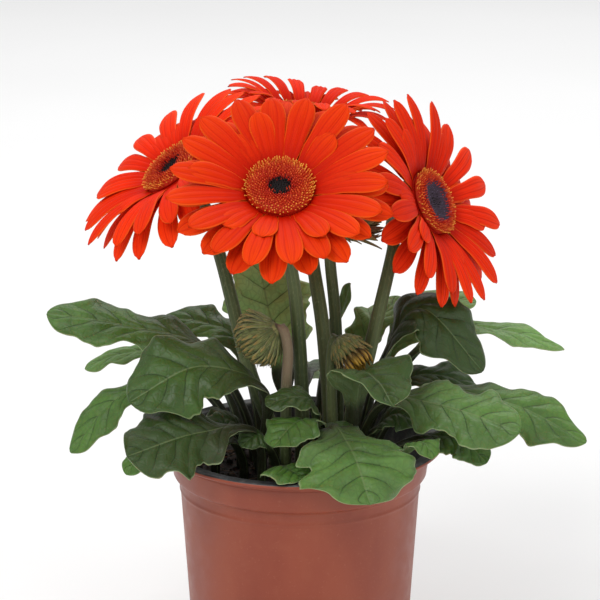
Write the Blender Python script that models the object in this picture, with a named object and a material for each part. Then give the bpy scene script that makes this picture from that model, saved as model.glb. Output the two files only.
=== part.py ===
"""Potted gerbera: a 12 cm pot with soil, a crown of lobed leaves and seven flower stems.

Sizes and places are in millimetres and become metres when a mesh is made. The pot stands on
z = 0 with its axis on Z, and the plant is seen from the -Y side.
"""

import math
from dataclasses import dataclass

import bmesh
import bpy
from mathutils import Vector

MM = 0.001
GAP = 0.3

# Pot: a thin moulded shell with a rolled lip, a stepped collar and a raised floor
POT_HEIGHT = 105.0
LIP_RADIUS = 60.0
LIP_THICKNESS = 1.8
COLLAR_TOP_RADIUS = 55.2
COLLAR_BOTTOM_RADIUS = 53.2
COLLAR_BOTTOM = 91.0
STEP_RADIUS = 50.8
STEP_BOTTOM = 89.5
BASE_RADIUS = 45.0
WALL = 1.4
FLOOR_RISE = 2.4
FLOOR_RING = (11.0, 39.0)
POT_SEGMENTS = 32
DRAIN_HOLES = 8
DRAIN_RING_RADIUS = 27.0
DRAIN_RADIUS = 4.0
HOLE_SIDES = 8

# Soil
SOIL_TOP = 95.0
SOIL_RADII = (12.0, 24.0, 36.0, 44.0)
SOIL_SEGMENTS = 24
SOIL_LUMP = 0.9

# Crown: where stems and leaf stalks enter the soil
ROOT_DEPTH = 85.0
CROWN_TOP = 97.5
STALK_CLEARANCE = 0.5
STALK_RADIUS = 2.1
HOLE_MOUTH = 107.0

# Steps between two knots of a stem or midrib, and along a petal up to each of its sections
ROUTE_STEPS = 24
PETAL_STEPS = 6

# Flower stems; the radii are at the soil and under the head
STEM_SIDES = 8
STEM_STATIONS = 10
OPEN_STEM = (3.2, 2.5)
HALF_OPEN_STEM = (2.8, 2.3)
YOUNG_STEM = (2.4, 2.1)

# Cups of bracts: distance along the axis from the end of the stem, and radius
CUP_PROFILE = ((0.0, 2.5), (3.0, 5.5), (6.5, 9.5), (10.0, 12.0), (14.0, 12.6))
HALF_OPEN_PROFILE = ((0.0, 2.3), (3.0, 4.2), (6.5, 5.8), (9.0, 6.0))
NODDING_PROFILE = ((0.0, 2.3), (2.0, 5.5), (5.0, 9.0), (9.0, 10.2), (13.0, 9.2), (16.0, 6.6))
NODDING_CAP = 1.5
OPENING_PROFILE = ((0.0, 2.0), (2.0, 4.6), (5.0, 6.6), (9.0, 7.0))
CUP_RIDGE = 0.05
HALF_OPEN_RIDGE = 0.08
BUD_RIDGE = 0.07

# Bloom: one ring of 36 wall faces in two tiers, with a petal drawn out of every other face
COLUMNS = 36
RING_RADIUS = 14.0
RING_LEVELS = (-3.1, -1.7, -0.3)
PETAL_STATIONS = (0.0, 0.35, 0.75, 1.0)
PETAL_HALF_WIDTHS = (1.2, 4.3, 4.9, 2.4)
PETAL_THICKNESS = 0.8
PETAL_BEND = 1.3
ROW_LIFT = 13.0
ROW_NARROWING = 0.12
LENGTH_SPREAD = 0.07
LIFT_SPREAD = 4.0
DROOP_SPREAD = 5.0
YAW_SPREAD = 2.0
TWIST_SPREAD = 7.0

# Disc: radius and height of its rings of florets
DISC_COLUMNS = 16
DISC_ROWS = ((13.2, 0.0), (13.9, 1.6), (12.4, 3.2), (9.6, 3.4), (6.4, 2.4), (3.4, 2.6))
DISC_TOP = 2.2
DISC_RELIEF = 0.45

# Tufts of young petals: height as a share of the length, ridge, and rise and fall of the points
TUFT_POINTS = 14
TUFT_LEVELS = (0.45, 0.8, 0.55)
TUFT_RIDGES = (0.10, 0.16, 0.12)
TUFT_ZIGZAG = (0.2, -0.12)
TUFT_HOLLOW = 0.4

# Leaves; stalk share, lobes, cup and wave are worked out along the midrib
BLADE_THICKNESS = 0.8
STALK_THICKNESS = 3.4
STALK_STATIONS = 4
STALK_SHARE = 0.36
STALK_ROUNDING = 0.45
BLADE_STATIONS = 12
LOBES = 3.0
LOBE_DEPTH = 0.38
EDGE_BEND = 1.5
WAVE_DEPTH = 0.15
WAVE_TURNS = 1.6


@dataclass(frozen=True)
class Head:
    """A flower head and the stem that carries it."""

    name: str
    centre: tuple
    axis: tuple
    root: tuple
    route: tuple


@dataclass(frozen=True)
class Bloom(Head):
    """An open head. Its petals start at rise and end at droop, in degrees."""

    length: float
    rise: float
    droop: float
    seed: int


@dataclass(frozen=True)
class Leaf:
    """A leaf on its own stalk.

    Its midrib passes through shoulder, crest and tip. root is the stalk's distance and turn in
    degrees round the crown, tilt is how far the edge nearer -Y hangs, in degrees, and cup is
    how far both edges rise above the midrib, as a share of the half width.
    """

    name: str
    shoulder: tuple
    crest: tuple
    tip: tuple
    root: tuple
    half_width: float
    tilt: float
    cup: float
    across: int
    seed: int


BLOOMS = (
    Bloom("left", (-53, 18, 217.5), (-0.59, -0.235, 0.762), (-10, -2),
          ((-21.7, 0, 137), (-33.4, 10, 182)), 34.0, 12.0, -38.0, 1),
    Bloom("centre", (-8, -32, 220.6), (0.0, -0.62, 0.78), (1, -11),
          ((0.5, -9, 135), (-2.5, -11, 175)), 32.5, 14.0, -16.0, 2),
    Bloom("right", (55, 13, 204), (0.81, -0.40, 0.42), (19, -4),
          ((29.1, -3, 145), (38.5, 5, 185)), 33.0, 12.0, -28.0, 3),
    Bloom("back", (3, 66, 231), (0.14, 0.04, 0.98), (13, 2),
          ((10.0, 3, 148), (5.0, 19, 180), (2.0, 53, 205)), 28.0, 40.0, -36.0, 4),
)
HALF_OPEN = Head("half_open", (23, 12, 194.5), (0.97, 0.05, 0.05), (16, 12),
                 ((15.2, 13, 149), (12.5, 14.5, 181)))
NODDING = Head("nodding_bud", (-22, -15, 150), (-0.80, 0.20, -0.55), (-6, -20),
               ((-5.6, -20, 134), (-5.0, -20.5, 151)))
OPENING = Head("opening_bud", (21, -17, 147), (0.55, -0.40, -0.65), (14, -16),
               ((13.0, -15, 130), (13.0, -13, 146)))

LEAVES = (
    Leaf("left_upper", (-40, 8, 141), (-75, 14, 151), (-107, 18, 155), (20, 169),
         14.5, 26, -0.14, 5, 1),
    Leaf("left_middle", (-15, -24, 134), (-41, -30, 146), (-69, -40, 134), (21, -140),
         20.0, 36, -0.14, 5, 2),
    Leaf("left_lower", (-19, -30, 118), (-42, -44, 122), (-69, -58, 117), (31, -120),
         19.0, 34, -0.14, 5, 3),
    Leaf("far_left", (-46, 0, 131), (-76, -6, 125), (-96, -12, 103), (25, 190),
         11.0, 24, -0.14, 5, 4),
    Leaf("left_under", (-46, -14, 113), (-60, -22, 112), (-72, -28, 99), (37, -162),
         10.0, 20, -0.10, 3, 5),
    Leaf("back_left", (-43, 30, 134), (-76, 42, 130), (-94, 46, 122), (31, 145),
         9.0, 18, -0.10, 3, 6),
    Leaf("back_left_high", (-26, 28, 138), (-41, 38, 145), (-60, 46, 145), (25, 133),
         11.0, 24, -0.10, 3, 7),
    Leaf("back_upright", (-8, 26, 132), (-14, 36, 154), (-18, 42, 174), (20, 107),
         22.0, 0, 0.10, 5, 8),
    Leaf("front", (13, -32, 120), (21, -52, 117), (28, -70, 101), (31, -65),
         26.0, 0, -0.10, 5, 9),
    Leaf("left_inner", (-27, -22, 111), (-34, -26, 116), (-44, -31, 110), (29, -143),
         11.0, 46, -0.10, 3, 27),
    Leaf("front_low", (-8, -38, 103), (-6, -48, 109), (2, -56, 107), (37, -103),
         14.0, 0, -0.08, 3, 10),
    Leaf("centre_small", (6, -28, 128), (-2, -33, 134), (-14, -37, 132), (25, -73),
         9.0, 20, -0.10, 3, 11),
    Leaf("centre_front", (3, -31, 121), (-2, -42, 126), (-11, -52, 119), (28, -85),
         12.5, 0, -0.10, 5, 26),
    Leaf("young_front", (24, -28, 140), (31, -40, 143), (37, -54, 137), (27, -38),
         16.0, 0, 0.30, 5, 12),
    Leaf("right_middle", (34, -20, 127), (57, -31, 130), (89, -42, 122), (26, -22),
         17.0, 30, -0.14, 5, 13),
    Leaf("far_right", (52, -4, 126), (87, -10, 124), (119, -16, 109), (31, -4),
         14.0, 26, -0.14, 5, 14),
    Leaf("right_under", (50, -14, 110), (66, -22, 112), (77, -28, 104), (37, -16),
         11.0, 24, -0.10, 3, 15),
    Leaf("right_small", (43, -34, 111), (50, -45, 118.5), (53, -52, 114), (37, -39),
         7.5, 0, -0.08, 3, 16),
    Leaf("right_upper", (38, 3, 147), (52, 2, 161), (76, -8, 137), (26, 8),
         15.0, 34, -0.14, 5, 17),
    Leaf("back_right", (46, 28, 147), (60, 36, 155), (76, 41, 154), (28, 35),
         11.0, 22, -0.10, 3, 18),
    Leaf("far_right_thin", (56, 18, 145), (87, 22, 146), (113, 25, 137), (31, 24),
         9.0, 14, -0.10, 3, 19),
    Leaf("back_right_inner", (28, 28, 142), (36, 36, 150), (44, 44, 155), (24, 52),
         12.0, 0, 0.10, 3, 20),
    Leaf("small_upright", (13, 26, 143), (18, 28, 154), (21, 29, 165), (24, 72),
         6.5, 0, 0.10, 3, 21),
    Leaf("right_dark", (44, 10, 126), (60, 13, 129), (78, 14, 120), (33, 8),
         11.0, 20, -0.10, 3, 22),
    Leaf("back_low_left", (-30, 42, 112), (-48, 62, 114), (-58, 78, 100), (37, 126),
         15.0, 0, -0.10, 3, 23),
    Leaf("back_low", (2, 50, 116), (4, 76, 116), (4, 96, 102), (37, 88),
         16.0, 0, -0.10, 3, 24),
    Leaf("back_low_right", (32, 44, 112), (52, 60, 114), (66, 74, 100), (37, 54),
         15.0, 0, -0.10, 3, 25),
)


def fraction(seed, *keys):
    """Give a repeatable fraction from 0 to 1 for a seed and whole numbers."""
    total = seed * 12.9898 + sum(key * weight for key, weight in zip(keys, (78.233, 37.719, 11.135)))
    value = math.sin(total) * 43758.5453
    return value - math.floor(value)


def spread(seed, *keys):
    """Give a repeatable value from -1 to 1."""
    return 2.0 * fraction(seed, *keys) - 1.0


def clear_scene():
    """Remove the objects a new file starts with."""
    for item in list(bpy.data.objects):
        bpy.data.objects.remove(item, do_unlink=True)


def material(name, colour, roughness, metallic=0.0):
    """Return a plain surface of one colour."""
    found = bpy.data.materials.get(name)
    if found:
        return found
    made = bpy.data.materials.new(name)
    made.use_nodes = True
    made.diffuse_color = (*colour, 1.0)
    shader = made.node_tree.nodes["Principled BSDF"]
    shader.inputs["Base Color"].default_value = (*colour, 1.0)
    shader.inputs["Roughness"].default_value = roughness
    shader.inputs["Metallic"].default_value = metallic
    return made


def finish_mesh(name, mesh_data, surface):
    """Turn a bmesh in millimetres into a named object in metres, faces pointing out."""
    bmesh.ops.recalc_face_normals(mesh_data, faces=mesh_data.faces[:])
    bmesh.ops.scale(mesh_data, vec=(MM, MM, MM), verts=mesh_data.verts[:])
    mesh = bpy.data.meshes.new(name)
    mesh_data.to_mesh(mesh)
    mesh_data.free()
    mesh.materials.append(surface)
    made = bpy.data.objects.new(name, mesh)
    bpy.context.scene.collection.objects.link(made)
    return made


def loft(mesh_data, rings, start_pole=None, end_pole=None, two_faced=False):
    """Join rings of points with triangles and close both ends.

    A two-faced loft is a blade: the second half of each ring is its under side, whose
    triangles are split along the same lines as the upper side.
    """
    loops = [[mesh_data.verts.new(point) for point in ring] for ring in rings]
    count = len(loops[0])
    for near, far in zip(loops, loops[1:]):
        for index in range(count):
            follow = (index + 1) % count
            a, b, c, d = near[index], near[follow], far[follow], far[index]
            under = two_faced and index >= count // 2
            corners = ((a, b, d), (b, c, d)) if under else ((a, b, c), (a, c, d))
            for corner in corners:
                mesh_data.faces.new(corner)
    for loop, pole in ((loops[0][::-1], start_pole), (loops[-1], end_pole)):
        if pole is None:
            mesh_data.faces.new(loop)
            continue
        centre = mesh_data.verts.new(pole)
        for index in range(count):
            mesh_data.faces.new((loop[index], loop[(index + 1) % count], centre))


def turned_ring(radius, height, count):
    """Return points evenly spaced round the Z axis."""
    turn = 2.0 * math.pi / count
    return [Vector((radius * math.cos(turn * k), radius * math.sin(turn * k), height))
            for k in range(count)]


def smooth_route(points, start_direction, end_direction, stations):
    """Return evenly stepped points and tangents on a smooth curve through the points."""
    knots = [Vector(point) for point in points]
    tangents = [(after - before) * 0.5 for before, after in zip(knots, knots[2:])]
    tangents.insert(0, Vector(start_direction).normalized() * (knots[1] - knots[0]).length)
    tangents.append(Vector(end_direction).normalized() * (knots[-1] - knots[-2]).length)
    fine = []
    for index in range(len(knots) - 1):
        for step in range(ROUTE_STEPS + (index == len(knots) - 2)):
            fine.append(hermite(knots[index], tangents[index], knots[index + 1],
                                tangents[index + 1], step / ROUTE_STEPS))
    lengths = [0.0]
    for before, after in zip(fine, fine[1:]):
        lengths.append(lengths[-1] + (after - before).length)
    places = []
    for station in stations:
        goal = station * lengths[-1]
        index = min(max(i for i, length in enumerate(lengths) if length <= goal + 1e-9),
                    len(fine) - 2)
        part = (goal - lengths[index]) / (lengths[index + 1] - lengths[index])
        tangent = (fine[index + 1] - fine[index]).normalized()
        places.append((fine[index].lerp(fine[index + 1], part), tangent))
    return places


def hermite(start, start_tangent, end, end_tangent, t):
    """Return a point of the cubic between two knots."""
    return (start * (2 * t ** 3 - 3 * t ** 2 + 1) + start_tangent * (t ** 3 - 2 * t ** 2 + t)
            + end * (3 * t ** 2 - 2 * t ** 3) + end_tangent * (t ** 3 - t ** 2))


def even(count):
    """Return stations from 0 to 1."""
    return [index / (count - 1) for index in range(count)]


def frame_for(axis):
    """Return two directions square to an axis, the first of them level."""
    forward = Vector(axis).normalized()
    side = Vector((0, 0, 1)).cross(forward)
    side = Vector((1, 0, 0)) if side.length < 0.05 else side.normalized()
    return side, forward.cross(side), forward


def place(centre, axis, point):
    """Move a point from a head's own frame, whose Z is the head's axis, to its place."""
    side, up, forward = frame_for(axis)
    return Vector(centre) + side * point[0] + up * point[1] + forward * point[2]


def make_pot():
    """Build the pot as one turned shell with drain holes."""
    outer = ((LIP_RADIUS, POT_HEIGHT), (LIP_RADIUS, POT_HEIGHT - LIP_THICKNESS),
             (COLLAR_TOP_RADIUS, POT_HEIGHT - LIP_THICKNESS), (COLLAR_BOTTOM_RADIUS, COLLAR_BOTTOM),
             (STEP_RADIUS, STEP_BOTTOM), (BASE_RADIUS, 1.2), (BASE_RADIUS - 1.0, 0.0),
             (FLOOR_RING[1] + 1.5, 0.0), (FLOOR_RING[1], FLOOR_RISE), (FLOOR_RING[0], FLOOR_RISE),
             (FLOOR_RING[0] - 1.0, 0.0))
    inner = ((FLOOR_RING[0] - 1.7, WALL), (FLOOR_RING[0] - 0.7, FLOOR_RISE + WALL),
             (FLOOR_RING[1] + 0.8, FLOOR_RISE + WALL), (FLOOR_RING[1] + 2.2, WALL),
             (BASE_RADIUS - WALL, WALL + 0.3), (STEP_RADIUS - WALL, STEP_BOTTOM + 0.9),
             (COLLAR_BOTTOM_RADIUS - 1.3, COLLAR_BOTTOM + 1.0),
             (COLLAR_TOP_RADIUS - 1.3, POT_HEIGHT - 0.7), (LIP_RADIUS - 1.1, POT_HEIGHT - 0.4))
    mesh_data = bmesh.new()
    rings = [turned_ring(radius, height, POT_SEGMENTS) for radius, height in outer[::-1] + inner[::-1]]
    loft(mesh_data, rings, start_pole=(0, 0, 0), end_pole=(0, 0, WALL))
    pot = finish_mesh("pot", mesh_data, material("terracotta_plastic", (0.33, 0.10, 0.055), 0.42))
    ring = turned_ring(DRAIN_RING_RADIUS, 0.0, DRAIN_HOLES)
    holes = [(point.x, point.y, DRAIN_RADIUS, -1.0, FLOOR_RISE + WALL + 1.0) for point in ring]
    cut_holes(pot, holes)
    return pot


def cut_holes(target, holes):
    """Cut upright round holes, each given as x, y, radius, bottom and top."""
    mesh_data = bmesh.new()
    for x, y, radius, bottom, top in holes:
        rings = [[point + Vector((x, y, height)) for point in turned_ring(radius, 0.0, HOLE_SIDES)]
                 for height in (bottom, top)]
        loft(mesh_data, rings)
    cutter = finish_mesh(target.name + "_holes", mesh_data, target.data.materials[0])
    cutter.hide_render = True
    cutter.display_type = "WIRE"
    cut = target.modifiers.new("holes", "BOOLEAN")
    cut.operation = "DIFFERENCE"
    cut.object = cutter


def soil_height(x, y):
    """Return the height of the lumpy soil at a place."""
    lumps = math.sin(0.21 * x + 1.3) * math.sin(0.17 * y + 0.4) + 0.6 * math.sin(0.33 * x - 0.29 * y)
    return SOIL_TOP + SOIL_LUMP * lumps - 0.0006 * (x * x + y * y)


def make_soil(roots):
    """Build the soil with a plain hole for each stem and stalk."""
    wall_slope = (STEP_RADIUS - BASE_RADIUS) / STEP_BOTTOM
    bottom = FLOOR_RISE + WALL + GAP
    foot = BASE_RADIUS - WALL + wall_slope * bottom - 2 * GAP
    edge = STEP_RADIUS - WALL - 2 * GAP
    rings = [turned_ring(foot, bottom, SOIL_SEGMENTS), turned_ring(edge, STEP_BOTTOM, SOIL_SEGMENTS)]
    for radius in (edge - 0.5, *SOIL_RADII[::-1]):
        ring = turned_ring(radius, 0.0, SOIL_SEGMENTS)
        rings.append([Vector((point.x, point.y, soil_height(point.x, point.y))) for point in ring])
    mesh_data = bmesh.new()
    loft(mesh_data, rings, start_pole=(0, 0, bottom), end_pole=(0, 0, soil_height(0, 0)))
    soil = finish_mesh("soil", mesh_data, material("potting_soil", (0.02, 0.014, 0.01), 0.95))
    holes = [(x, y, radius + STALK_CLEARANCE, ROOT_DEPTH - GAP, HOLE_MOUTH)
             for x, y, radius in roots]
    cut_holes(soil, holes)
    return soil


def tube_ring(centre, tangent, side_hint, radius, count, ridge=0.0, phase=0):
    """Return a ring square to a tangent, with every other point raised as a ridge."""
    side = (side_hint - tangent * side_hint.dot(tangent)).normalized()
    other = tangent.cross(side)
    ring = []
    for k in range(count):
        turn = 2.0 * math.pi * k / count
        reach = radius * (1.0 + (ridge if (k + phase) % 2 else -ridge))
        ring.append(centre + side * (reach * math.cos(turn)) + other * (reach * math.sin(turn)))
    return ring


def stem_rings(root, route, end, axis, sides, base_radius, top_radius):
    """Return the rings of a stem from the soil to the foot of its head."""
    x, y = root
    rings = [tube_ring(Vector((x, y, ROOT_DEPTH)), Vector((0, 0, 1)), Vector((1, 0, 0)),
                       base_radius, sides)]
    knots = ((x, y, CROWN_TOP), *route, tuple(end))
    stations = even(STEM_STATIONS)
    for station, (centre, tangent) in zip(stations, smooth_route(knots, (0, 0, 1), axis, stations)):
        radius = base_radius + (top_radius - base_radius) * station
        rings.append(tube_ring(centre, tangent, Vector((1, 0, 0)), radius, sides))
    return rings


def head_rings(end, axis, profile, sides, ridge):
    """Return the rings of a cup of bracts, each row ridged between those of the last."""
    forward = Vector(axis).normalized()
    rings = []
    for row, (along, radius) in enumerate(profile):
        rings.append(tube_ring(end + forward * along, forward, Vector((1, 0, 0)), radius, sides,
                               ridge, row))
    return rings


def make_stem(head, seat, profile, ridge, radii, cap=None):
    """Build a flower stem and its cup as one body.

    The profile ends at seat, under the head's petals. A closed bud's cap rises beyond it.
    """
    forward = Vector(head.axis).normalized()
    end = Vector(seat) - forward * profile[-1][0]
    rings = stem_rings(head.root, head.route, end, head.axis, STEM_SIDES, *radii)
    rings += head_rings(end, head.axis, profile[1:], STEM_SIDES, ridge)
    mesh_data = bmesh.new()
    pole = None if cap is None else end + forward * (profile[-1][0] + cap)
    loft(mesh_data, rings, end_pole=pole)
    return finish_mesh("scape_" + head.name, mesh_data,
                       material("stem_green", (0.13, 0.19, 0.07), 0.6))


def make_open_stem(bloom):
    """Build the stem of an open bloom, its cup ending just under the ring of petals."""
    forward = Vector(bloom.axis).normalized()
    seat = Vector(bloom.centre) + forward * (RING_LEVELS[0] - GAP)
    return make_stem(bloom, seat, CUP_PROFILE, CUP_RIDGE, OPEN_STEM)


def petal_section(bloom, row, column, station_index):
    """Return the four corners of a petal's section, in the head's own frame."""
    seed = bloom.seed
    reach = bloom.length * (1.0 + LENGTH_SPREAD * spread(seed, row, column))
    lift = bloom.rise + ROW_LIFT * row + LIFT_SPREAD * spread(seed, row + 2, column)
    drop = bloom.droop + ROW_LIFT * row + DROOP_SPREAD * spread(seed, row + 4, column)
    yaw = math.radians(YAW_SPREAD * spread(seed, row + 6, column))
    yaw += 2.0 * math.pi * (column + 0.5) / COLUMNS
    station = PETAL_STATIONS[station_index]
    twist = math.radians(TWIST_SPREAD * spread(seed, row + 8, column)) * station
    radius, height, angle = RING_RADIUS, 0.0, math.radians(lift)
    for step in range(PETAL_STEPS):
        middle = station * (step + 0.5) / PETAL_STEPS
        angle = math.radians(lift + (drop - lift) * middle ** PETAL_BEND)
        radius += math.cos(angle) * reach * station / PETAL_STEPS
        height += math.sin(angle) * reach * station / PETAL_STEPS
    level = 0.5 * (RING_LEVELS[row] + RING_LEVELS[row + 1])
    half = PETAL_HALF_WIDTHS[station_index] * (1.0 - ROW_NARROWING * row)
    thick = 0.5 * PETAL_THICKNESS
    corners = []
    for across, over in ((-half, -thick), (half, -thick), (half, thick), (-half, thick)):
        side = across * math.cos(twist) - over * math.sin(twist)
        over_turned = across * math.sin(twist) + over * math.cos(twist)
        out = radius - over_turned * math.sin(angle)
        x = out * math.cos(yaw) - side * math.sin(yaw)
        y = out * math.sin(yaw) + side * math.cos(yaw)
        corners.append(Vector((x, y, level + height + over_turned * math.cos(angle))))
    return corners


def make_rays(bloom):
    """Build the ray petals of a bloom: two rows drawn out of one ring."""
    mesh_data = bmesh.new()
    levels = [[mesh_data.verts.new(point) for point in turned_ring(RING_RADIUS, height, COLUMNS)]
              for height in RING_LEVELS]
    for level, loop in ((RING_LEVELS[0], levels[0][::-1]), (RING_LEVELS[-1], levels[-1])):
        centre = mesh_data.verts.new((0, 0, level))
        for k in range(COLUMNS):
            mesh_data.faces.new((loop[k], loop[(k + 1) % COLUMNS], centre))
    for row in range(2):
        for column in range(COLUMNS):
            follow = (column + 1) % COLUMNS
            lower, upper = levels[row], levels[row + 1]
            wall = mesh_data.faces.new((lower[column], lower[follow], upper[follow], upper[column]))
            if column % 2 != row:
                continue
            for station_index in range(1, len(PETAL_STATIONS)):
                grown = bmesh.ops.extrude_discrete_faces(mesh_data, faces=[wall])
                wall = grown["faces"][0]
                corners = petal_section(bloom, row, column, station_index)
                for vert, corner in zip(wall.verts, corners):
                    vert.co = corner
    for vert in mesh_data.verts:
        vert.co = place(bloom.centre, bloom.axis, vert.co)
    bmesh.ops.triangulate(mesh_data, faces=mesh_data.faces[:], quad_method="FIXED")
    return finish_mesh("rays_" + bloom.name, mesh_data,
                       material("petal_red", (0.80, 0.035, 0.008), 0.45))


def make_disc(bloom):
    """Build the dome of florets, its points raised and sunk by turns."""
    rings = []
    for row, (radius, height) in enumerate(DISC_ROWS):
        ring = turned_ring(radius, height, DISC_COLUMNS)
        relief = DISC_RELIEF if row else 0.0
        rings.append([place(bloom.centre, bloom.axis,
                            point + Vector((0, 0, relief * (1 if (k + row) % 2 else -1))))
                      for k, point in enumerate(ring)])
    mesh_data = bmesh.new()
    loft(mesh_data, rings, start_pole=place(bloom.centre, bloom.axis, (0, 0, 0)),
         end_pole=place(bloom.centre, bloom.axis, (0, 0, DISC_TOP)))
    return finish_mesh("disc_" + bloom.name, mesh_data,
                       material("disc_florets", (0.35, 0.09, 0.03), 0.7))


def leaf_root(leaf):
    """Return where the leaf's stalk enters the soil."""
    radius, turn = leaf.root[0], math.radians(leaf.root[1])
    return radius * math.cos(turn), radius * math.sin(turn)


def blade_outline(part, seed):
    """Return the half width along the blade, 0 to 1, with its rounded lobes."""
    body = part ** 0.6 * math.sqrt(max(0.0, 1.0 - part ** 3)) / 0.658
    lobe = 0.5 - 0.5 * math.cos(2.0 * math.pi * (LOBES * part + 0.15 * spread(seed, 3)))
    depth = LOBE_DEPTH * (1.0 - 0.6 * part)
    return body * (1.0 - depth * lobe)


def leaf_stations():
    """Return the stations along a leaf and, for each, how far along its blade it is."""
    stalk = [(STALK_SHARE * index / STALK_STATIONS, None) for index in range(STALK_STATIONS)]
    blade = [(STALK_SHARE + (1.0 - STALK_SHARE) * part, part) for part in even(BLADE_STATIONS)]
    return stalk + blade


def leaf_ring(leaf, centre, tangent, heading, part):
    """Return the closed section of a leaf: stalk where part is None, else blade."""
    level = Vector((tangent.x, tangent.y, 0.0)) * 0.8 + heading * 0.5
    side = Vector((0, 0, 1)).cross(level).normalized()
    side = (side - tangent * side.dot(tangent)).normalized()
    up = tangent.cross(side)
    half, thick, bend, wave = STALK_RADIUS, STALK_THICKNESS, 0.0, 0.0
    if part is not None:
        grow = min(1.0, part * 3.0)
        half = max(STALK_RADIUS * (1.0 - 0.4 * grow), leaf.half_width * blade_outline(part, leaf.seed))
        thick = STALK_THICKNESS + (BLADE_THICKNESS - STALK_THICKNESS) * grow
        bend = leaf.cup * grow
        wave = WAVE_DEPTH * half * grow
        lower = 1.0 if side.y < 0 else -1.0
        angle = math.radians(leaf.tilt) * grow * -lower
        side, up = (side * math.cos(angle) + up * math.sin(angle),
                    up * math.cos(angle) - side * math.sin(angle))
    stops = [-1.0 + 2.0 * k / (leaf.across - 1) for k in range(leaf.across)]
    turns = WAVE_TURNS * (part or 0.0) + leaf.seed * 0.37
    top, under = [], []
    for stop in stops:
        edge = abs(stop)
        ripple = wave * stop * math.sin(2.0 * math.pi * turns)
        offset = bend * half * edge ** EDGE_BEND + ripple * edge
        body = 0.5 * thick * (1.0 if part and part > 0.3 else 1.0 - STALK_ROUNDING * edge)
        middle = centre + side * (half * stop) + up * offset
        top.append(middle + up * body)
        under.append(middle - up * body)
    return top + under[::-1]


def make_leaf(leaf):
    """Build one leaf with its stalk."""
    x, y = leaf_root(leaf)
    knots = ((x, y, CROWN_TOP), leaf.shoulder, leaf.crest, leaf.tip)
    heading = Vector(leaf.tip) - Vector((x, y, 0.0))
    heading = Vector((heading.x, heading.y, 0.0)).normalized()
    last = Vector(leaf.tip) - Vector(leaf.crest)
    stations = leaf_stations()
    route = smooth_route(knots, (0, 0, 1), last, [station for station, _ in stations])
    rings = [leaf_ring(leaf, Vector((x, y, ROOT_DEPTH)), Vector((0, 0, 1)), heading, None)]
    for (_, part), (centre, tangent) in zip(stations, route):
        rings.append(leaf_ring(leaf, centre, tangent, heading, part))
    mesh_data = bmesh.new()
    loft(mesh_data, rings, two_faced=True)
    return finish_mesh("leaf_" + leaf.name, mesh_data, material("leaf_green", (0.07, 0.16, 0.035), 0.5))


def make_tuft(head, name, base_radius, length, splay, surface):
    """Build a tuft of narrow pointed petals that stand together, as one ridged body."""
    radii = (base_radius + 0.5 * splay, base_radius + splay, 0.55 * base_radius)
    rows = [(GAP, base_radius, 0.0)]
    rows += [(length * level, radius, ridge)
             for level, radius, ridge in zip(TUFT_LEVELS, radii, TUFT_RIDGES)]
    centre, forward = Vector(head.centre), Vector(head.axis).normalized()
    rings = [tube_ring(centre + forward * along, forward, Vector((1, 0, 0)), radius, TUFT_POINTS, ridge)
             for along, radius, ridge in rows]
    rise, fall = TUFT_ZIGZAG
    rings[2] = [point + forward * (length * (rise if k % 2 else fall))
                for k, point in enumerate(rings[2])]
    mesh_data = bmesh.new()
    loft(mesh_data, rings, start_pole=centre + forward * GAP,
         end_pole=centre + forward * length * TUFT_HOLLOW)
    return finish_mesh(name, mesh_data, surface)


def make_young_heads():
    """Build the half-open head and the two buds with their stems."""
    make_stem(HALF_OPEN, HALF_OPEN.centre, HALF_OPEN_PROFILE, HALF_OPEN_RIDGE, HALF_OPEN_STEM)
    make_tuft(HALF_OPEN, "rays_half_open", 5.4, 13.0, 0.8,
              material("petal_young", (0.22, 0.05, 0.02), 0.5))
    make_stem(NODDING, NODDING.centre, NODDING_PROFILE, BUD_RIDGE, YOUNG_STEM, NODDING_CAP)
    make_stem(OPENING, OPENING.centre, OPENING_PROFILE, BUD_RIDGE, YOUNG_STEM)
    make_tuft(OPENING, "florets_opening_bud", 5.6, 8.0, 0.6,
              material("bud_yellow", (0.42, 0.26, 0.03), 0.5))


def crown_roots():
    """Return x, y and radius of all that enters the soil."""
    roots = [(*head.root, OPEN_STEM[0]) for head in (*BLOOMS, HALF_OPEN)]
    roots += [(*bud.root, YOUNG_STEM[0]) for bud in (NODDING, OPENING)]
    roots += [(*leaf_root(leaf), STALK_RADIUS + 0.2) for leaf in LEAVES]
    return roots


def main():
    """Build the plant from the pot up."""
    clear_scene()
    make_pot()
    make_soil(crown_roots())
    for bloom in BLOOMS:
        make_open_stem(bloom)
        make_rays(bloom)
        make_disc(bloom)
    make_young_heads()
    for leaf in LEAVES:
        make_leaf(leaf)


main()
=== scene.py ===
"""Looks of a potted gerbera: petals, florets, leaves, stems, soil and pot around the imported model.

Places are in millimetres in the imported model's frame and become metres when a piece is made.
The plant is seen from the -Y side. Each piece replaces the plain solid it stands for, and four
small inner leaves are only here.
"""

from __future__ import annotations

import logging
import math
from dataclasses import dataclass, field
from enum import Enum
from functools import partial
from typing import Callable, Sequence

import bmesh
import bpy
from mathutils import Matrix, Vector, noise

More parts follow.
